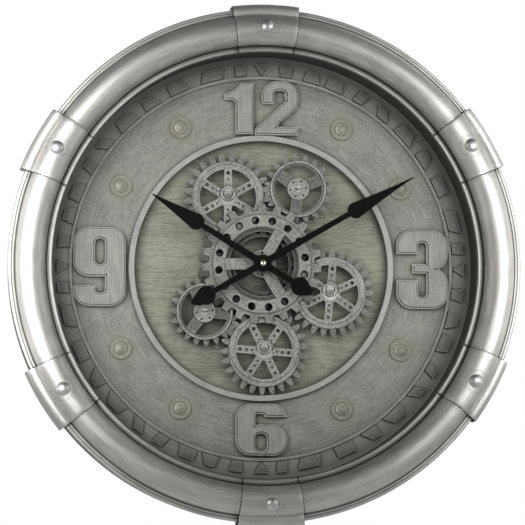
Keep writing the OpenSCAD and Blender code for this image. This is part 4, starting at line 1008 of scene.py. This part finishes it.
class FinishHands(ClockOperator, bpy.types.Operator):
    """Finishes the hands and the cap nut."""

    bl_idname = "clock.finish_hands"
    bl_label = "Hands"

    def execute(self, context):
        paint(matt_black("hand black", self.colours.hand), "hour_hand", "minute_hand")
        paint(bright_metal("cap nickel", (0.7, 0.68, 0.6), 0.16, 0.1), "cap_nut")
        return {"FINISHED"}


class FinishMovement(ClockOperator, bpy.types.Operator):
    """Finishes the movement, the motor and the battery box."""

    bl_idname = "clock.finish_movement"
    bl_label = "Movement and motor"

    def execute(self, context):
        paint(streaked_case("movement plastic", (0.075, 0.067, 0.056)), "movement_case")
        paint(moulded("cover plastic", (0.022, 0.016, 0.012)), "movement_cover")
        paint(bright_metal("coil copper", (0.5, 0.2, 0.09), 0.35), "stepper_coil")
        paint(bright_metal("arbor brass", (0.62, 0.47, 0.2), 0.28), "minute_arbor")
        paint(moulded("motion plastic", (0.55, 0.53, 0.45)), "hour_pipe", "reversing_wheel")
        paint(moulded("knob plastic", (0.06, 0.06, 0.06)), "setting_knob")
        paint(bright_metal("motor can", (0.4, 0.41, 0.42), 0.4), "gear_motor")
        paint(moulded("box plastic", (0.018, 0.018, 0.018)), "battery_box")
        paint(moulded("switch plastic", (0.14, 0.012, 0.01)), "motor_switch")
        return {"FINISHED"}


class WrapCells(ClockOperator, bpy.types.Operator):
    """Makes one dry cell in its sleeve, and copies it into the battery bays."""

    bl_idname = "clock.wrap_cells"
    bl_label = "Dry cells"

    button_r = 0.0027
    button_l = 0.0012
    button_edge = 0.0004
    # Middle of each cell, and its turn about the clock's axis
    places = (((0.006, -0.0122, -0.0135), 90.0), ((0.11075, -0.0102, 0.0079), 0.0),
              ((0.12525, -0.0102, 0.0079), 0.0))

    def execute(self, context):
        body_l = CELL_L - self.button_l
        crimp = self.sizes.crimp
        cell = start_piece("dry_cell", bpy.ops.mesh.primitive_cylinder_add, vertices=48,
                           radius=CELL_R, depth=body_l, location=(0, 0, -self.button_l / 2))
        with Shaping(cell) as form:
            for way in (1, -1):
                form.faces(lambda middle, normal: normal.z * way > 0.9)
                bpy.ops.mesh.bevel(offset=crimp, segments=3, affect="EDGES")
                form.faces(lambda middle, normal: normal.z * way > 0.999)
                bpy.ops.mesh.inset(thickness=crimp, depth=0)
                form.push((0, 0, -way * crimp / 2))
            bpy.ops.mesh.inset(thickness=crimp * 2, depth=-crimp / 3)
            form.faces(lambda middle, normal: normal.z > 0.999 and middle.z > 0.02
                       and middle.xy.length < 1e-4)
            inner = CELL_R - 2 * crimp
            bpy.ops.mesh.inset(thickness=inner - self.button_r, depth=0)
            form.push((0, 0, self.button_l + crimp / 2))
            bpy.ops.mesh.bevel(offset=self.button_edge, segments=3, affect="EDGES")
        smooth(cell, 40)
        sleeve = wrapped_cell("cell sleeve", (0.03, 0.03, 0.032), (0.05, 0.05, 0.052))
        steel = bright_metal("cell steel", (0.72, 0.72, 0.7), 0.22)
        places = [Matrix.Translation(middle) @ round_clock(turn) for middle, turn in self.places]
        for piece in copies(cell, places):
            settle(piece, sleeve, "case", None, "dry_cells")
            piece.data.materials.append(steel)
            self.dress_ends(piece)
        return {"FINISHED"}

    def dress_ends(self, piece):
        """Bright steel where a face points along the cell."""
        low, high = (Vector(corner) for corner in (piece.bound_box[0], piece.bound_box[6]))
        size = high - low
        axis = max(range(3), key=lambda k: size[k])
        end_r = CELL_R - 1.5 * self.sizes.crimp
        for face in piece.data.polygons:
            inside = face.center - (low + high) / 2
            inside[axis] = 0
            if abs(face.normal[axis]) > 0.3 and inside.length < end_r:
                face.material_index = 1


class BuildStage(ClockOperator, bpy.types.Operator):
    """Makes the floor, the lights and the camera."""

    bl_idname = "clock.build_stage"
    bl_label = "Stage"

    # Camera: the point it looks at, and its lens in millimetres for each metre
    # of distance, fitted to the photograph
    target = Vector((0.0004, -0.04, 0.0059))
    lens_share = 352.3 / 6.0
    floor_z = -0.75
    floor_size = 7.0
    # The front lamps light the faces and leave no reflection
    lit_point = (0, -0.04, 0)
    front_size = (0.5, 0.5)
    key_place = (-0.85, -0.72, 0.35)
    fill_place = (0.25, -0.95, 0.5)
    # Each side lamp, placed for the right side, shows only in the gloss of its half of the
    # rim, and so does the narrow lamp at the edge, which has a share of its power
    side_place = (0.5, -0.33, 0.08)
    side_aim = (0.31, 0.0, 0.08)
    side_size = (0.5, 0.55)
    side_spread = 75
    edge_place = (0.45, -0.025, 0.08)
    edge_aim = (0, -0.025, 0.08)
    edge_size = (0.13, 0.6)
    edge_share = 0.2
    back_place = (0.6, 1.2, 0.9)
    back_size = (1.2, 1.2)
    # Surroundings, as the gloss sees them: their level, and what each side adds to it, from
    # and to how far towards that side. Faces see a lower level, and the camera sees white.
    sky_level = 0.4
    sky_right = (0.45, 0.85, 0.5)
    sky_left = (0.05, 0.6, -0.05)
    sky_above = (0.15, 0.75, -0.26)
    sky_below = (0.1, 0.7, 0.7)
    sky_on_faces = 0.22

    def execute(self, context):
        self.make_floor()
        self.make_camera(context)
        self.make_lights(context)
        self.make_sky(context)
        context.scene.view_settings.view_transform = "Standard"
        return {"FINISHED"}

    def make_floor(self):
        floor = start_piece("floor", bpy.ops.mesh.primitive_plane_add, size=self.floor_size,
                            location=(0, 0, self.floor_z))
        with Shaping(floor) as form:
            form.all()
            bpy.ops.mesh.subdivide(number_cuts=8)
        f = Finish("floor paint", roughness=0.6)
        f.put("Base Color", f.mix(f.patches(0.4), (0.8, 0.8, 0.8), (0.86, 0.86, 0.86)))
        floor.data.materials.append(f.material)

    def make_camera(self, context):
        data = bpy.data.cameras.new("camera")
        camera = bpy.data.objects.new("camera", data)
        context.collection.objects.link(camera)
        azimuth, elevation = self.stage.azimuth, self.stage.elevation
        back = Vector((math.sin(azimuth) * math.cos(elevation),
                       -math.cos(azimuth) * math.cos(elevation), math.sin(elevation)))
        data.lens = self.lens_share * self.stage.distance
        camera.location = self.target + back * self.stage.distance
        camera.rotation_euler = (-back).to_track_quat("-Z", "Y").to_euler()
        context.scene.camera = camera

    def softbox(self, context, name, place, aim, size, power):
        """Adds a square lamp that faces a point and stays out of the picture."""
        data = bpy.data.lights.new(name, "AREA")
        data.shape = "RECTANGLE"
        data.size, data.size_y = size
        data.energy = power
        lamp = bpy.data.objects.new(name, data)
        context.collection.objects.link(lamp)
        lamp.location = place
        lamp.rotation_euler = (Vector(place) - Vector(aim)).to_track_quat("Z", "Y").to_euler()
        lamp.visible_camera = False
        return lamp

    def make_lights(self, context):
        for name, place, power in (("key light", self.key_place, self.stage.key_power),
                                   ("fill light", self.fill_place, self.stage.fill_power)):
            lamp = self.softbox(context, name, place, self.lit_point, self.front_size, power)
            lamp.visible_glossy = False
        for name, way, power in (("left light", -1, self.stage.left_power),
                                 ("right light", 1, self.stage.right_power)):
            side_place, side_aim, edge_place, edge_aim = (
                (way * x, y, z) for x, y, z in (self.side_place, self.side_aim,
                                                self.edge_place, self.edge_aim))
            wide = self.softbox(context, name, side_place, side_aim, self.side_size, power)
            wide.data.spread = math.radians(self.side_spread)
            edge = self.softbox(context, f"{name}, edge", edge_place, edge_aim, self.edge_size,
                                power * self.edge_share)
            wide.visible_diffuse = edge.visible_diffuse = False
        self.softbox(context, "back light", self.back_place, (0, 0, 0), self.back_size,
                     self.stage.back_power)

    def make_sky(self, context):
        """Studio surroundings: white behind the clock, pale at the sides, dull above."""
        world = bpy.data.worlds.new("studio")
        world.use_nodes = True
        context.scene.world = world
        sky = NodeTree(world.node_tree)
        x, _, z = sky.split(sky.node("ShaderNodeTexCoord", out="Generated"))
        glossy = self.sky_level
        for way, (low, high, share) in ((x, self.sky_right), (0 - x, self.sky_left),
                                        (z, self.sky_above), (0 - z, self.sky_below)):
            glossy = glossy + sky.step(way, low, high) * share
        diffuse = sky.node("ShaderNodeLightPath", out="Is Diffuse Ray")
        camera = sky.node("ShaderNodeLightPath", out="Is Camera Ray")
        level = diffuse * self.sky_on_faces + (1 - diffuse) * glossy
        tone = sky.mix(camera, sky.join(level, level, level), (1.0, 1.0, 1.0))
        shader = world.node_tree.nodes["Background"]
        world.node_tree.links.new(tone.socket, shader.inputs["Color"])


OPERATORS = (SpinRim, BendStraps, FinishCase, CutScrews, FinishDial, FinishGears, FinishHands,
             FinishMovement, WrapCells, BuildStage)


class ClockPanel(bpy.types.Panel):
    """Lists the clock's operators and settings."""

    bl_idname = "VIEW3D_PT_clock"
    bl_label = "Clock"
    bl_space_type = "VIEW_3D"
    bl_region_type = "UI"
    bl_category = "Clock"

    def draw(self, context):
        scene = context.scene
        for settings in (scene.clock_sizes, scene.clock_colours, scene.clock_stage):
            for name in settings.__annotations__:
                self.layout.prop(settings, name)
        for operator in OPERATORS:
            self.layout.operator(operator.bl_idname)


CLASSES = (ClockSizes, ClockColours, ClockStage, *OPERATORS, ClockPanel)


def register():
    for made in CLASSES:
        bpy.utils.register_class(made)
    bpy.types.Scene.clock_sizes = bpy.props.PointerProperty(type=ClockSizes)
    bpy.types.Scene.clock_colours = bpy.props.PointerProperty(type=ClockColours)
    bpy.types.Scene.clock_stage = bpy.props.PointerProperty(type=ClockStage)


def unregister():
    del bpy.types.Scene.clock_stage
    del bpy.types.Scene.clock_colours
    del bpy.types.Scene.clock_sizes
    for made in reversed(CLASSES):
        bpy.utils.unregister_class(made)


def main():
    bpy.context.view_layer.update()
    register()
    for operator in OPERATORS:
        group, name = operator.bl_idname.split(".")
        getattr(getattr(bpy.ops, group), name)()


if __name__ == "__main__":
    main()
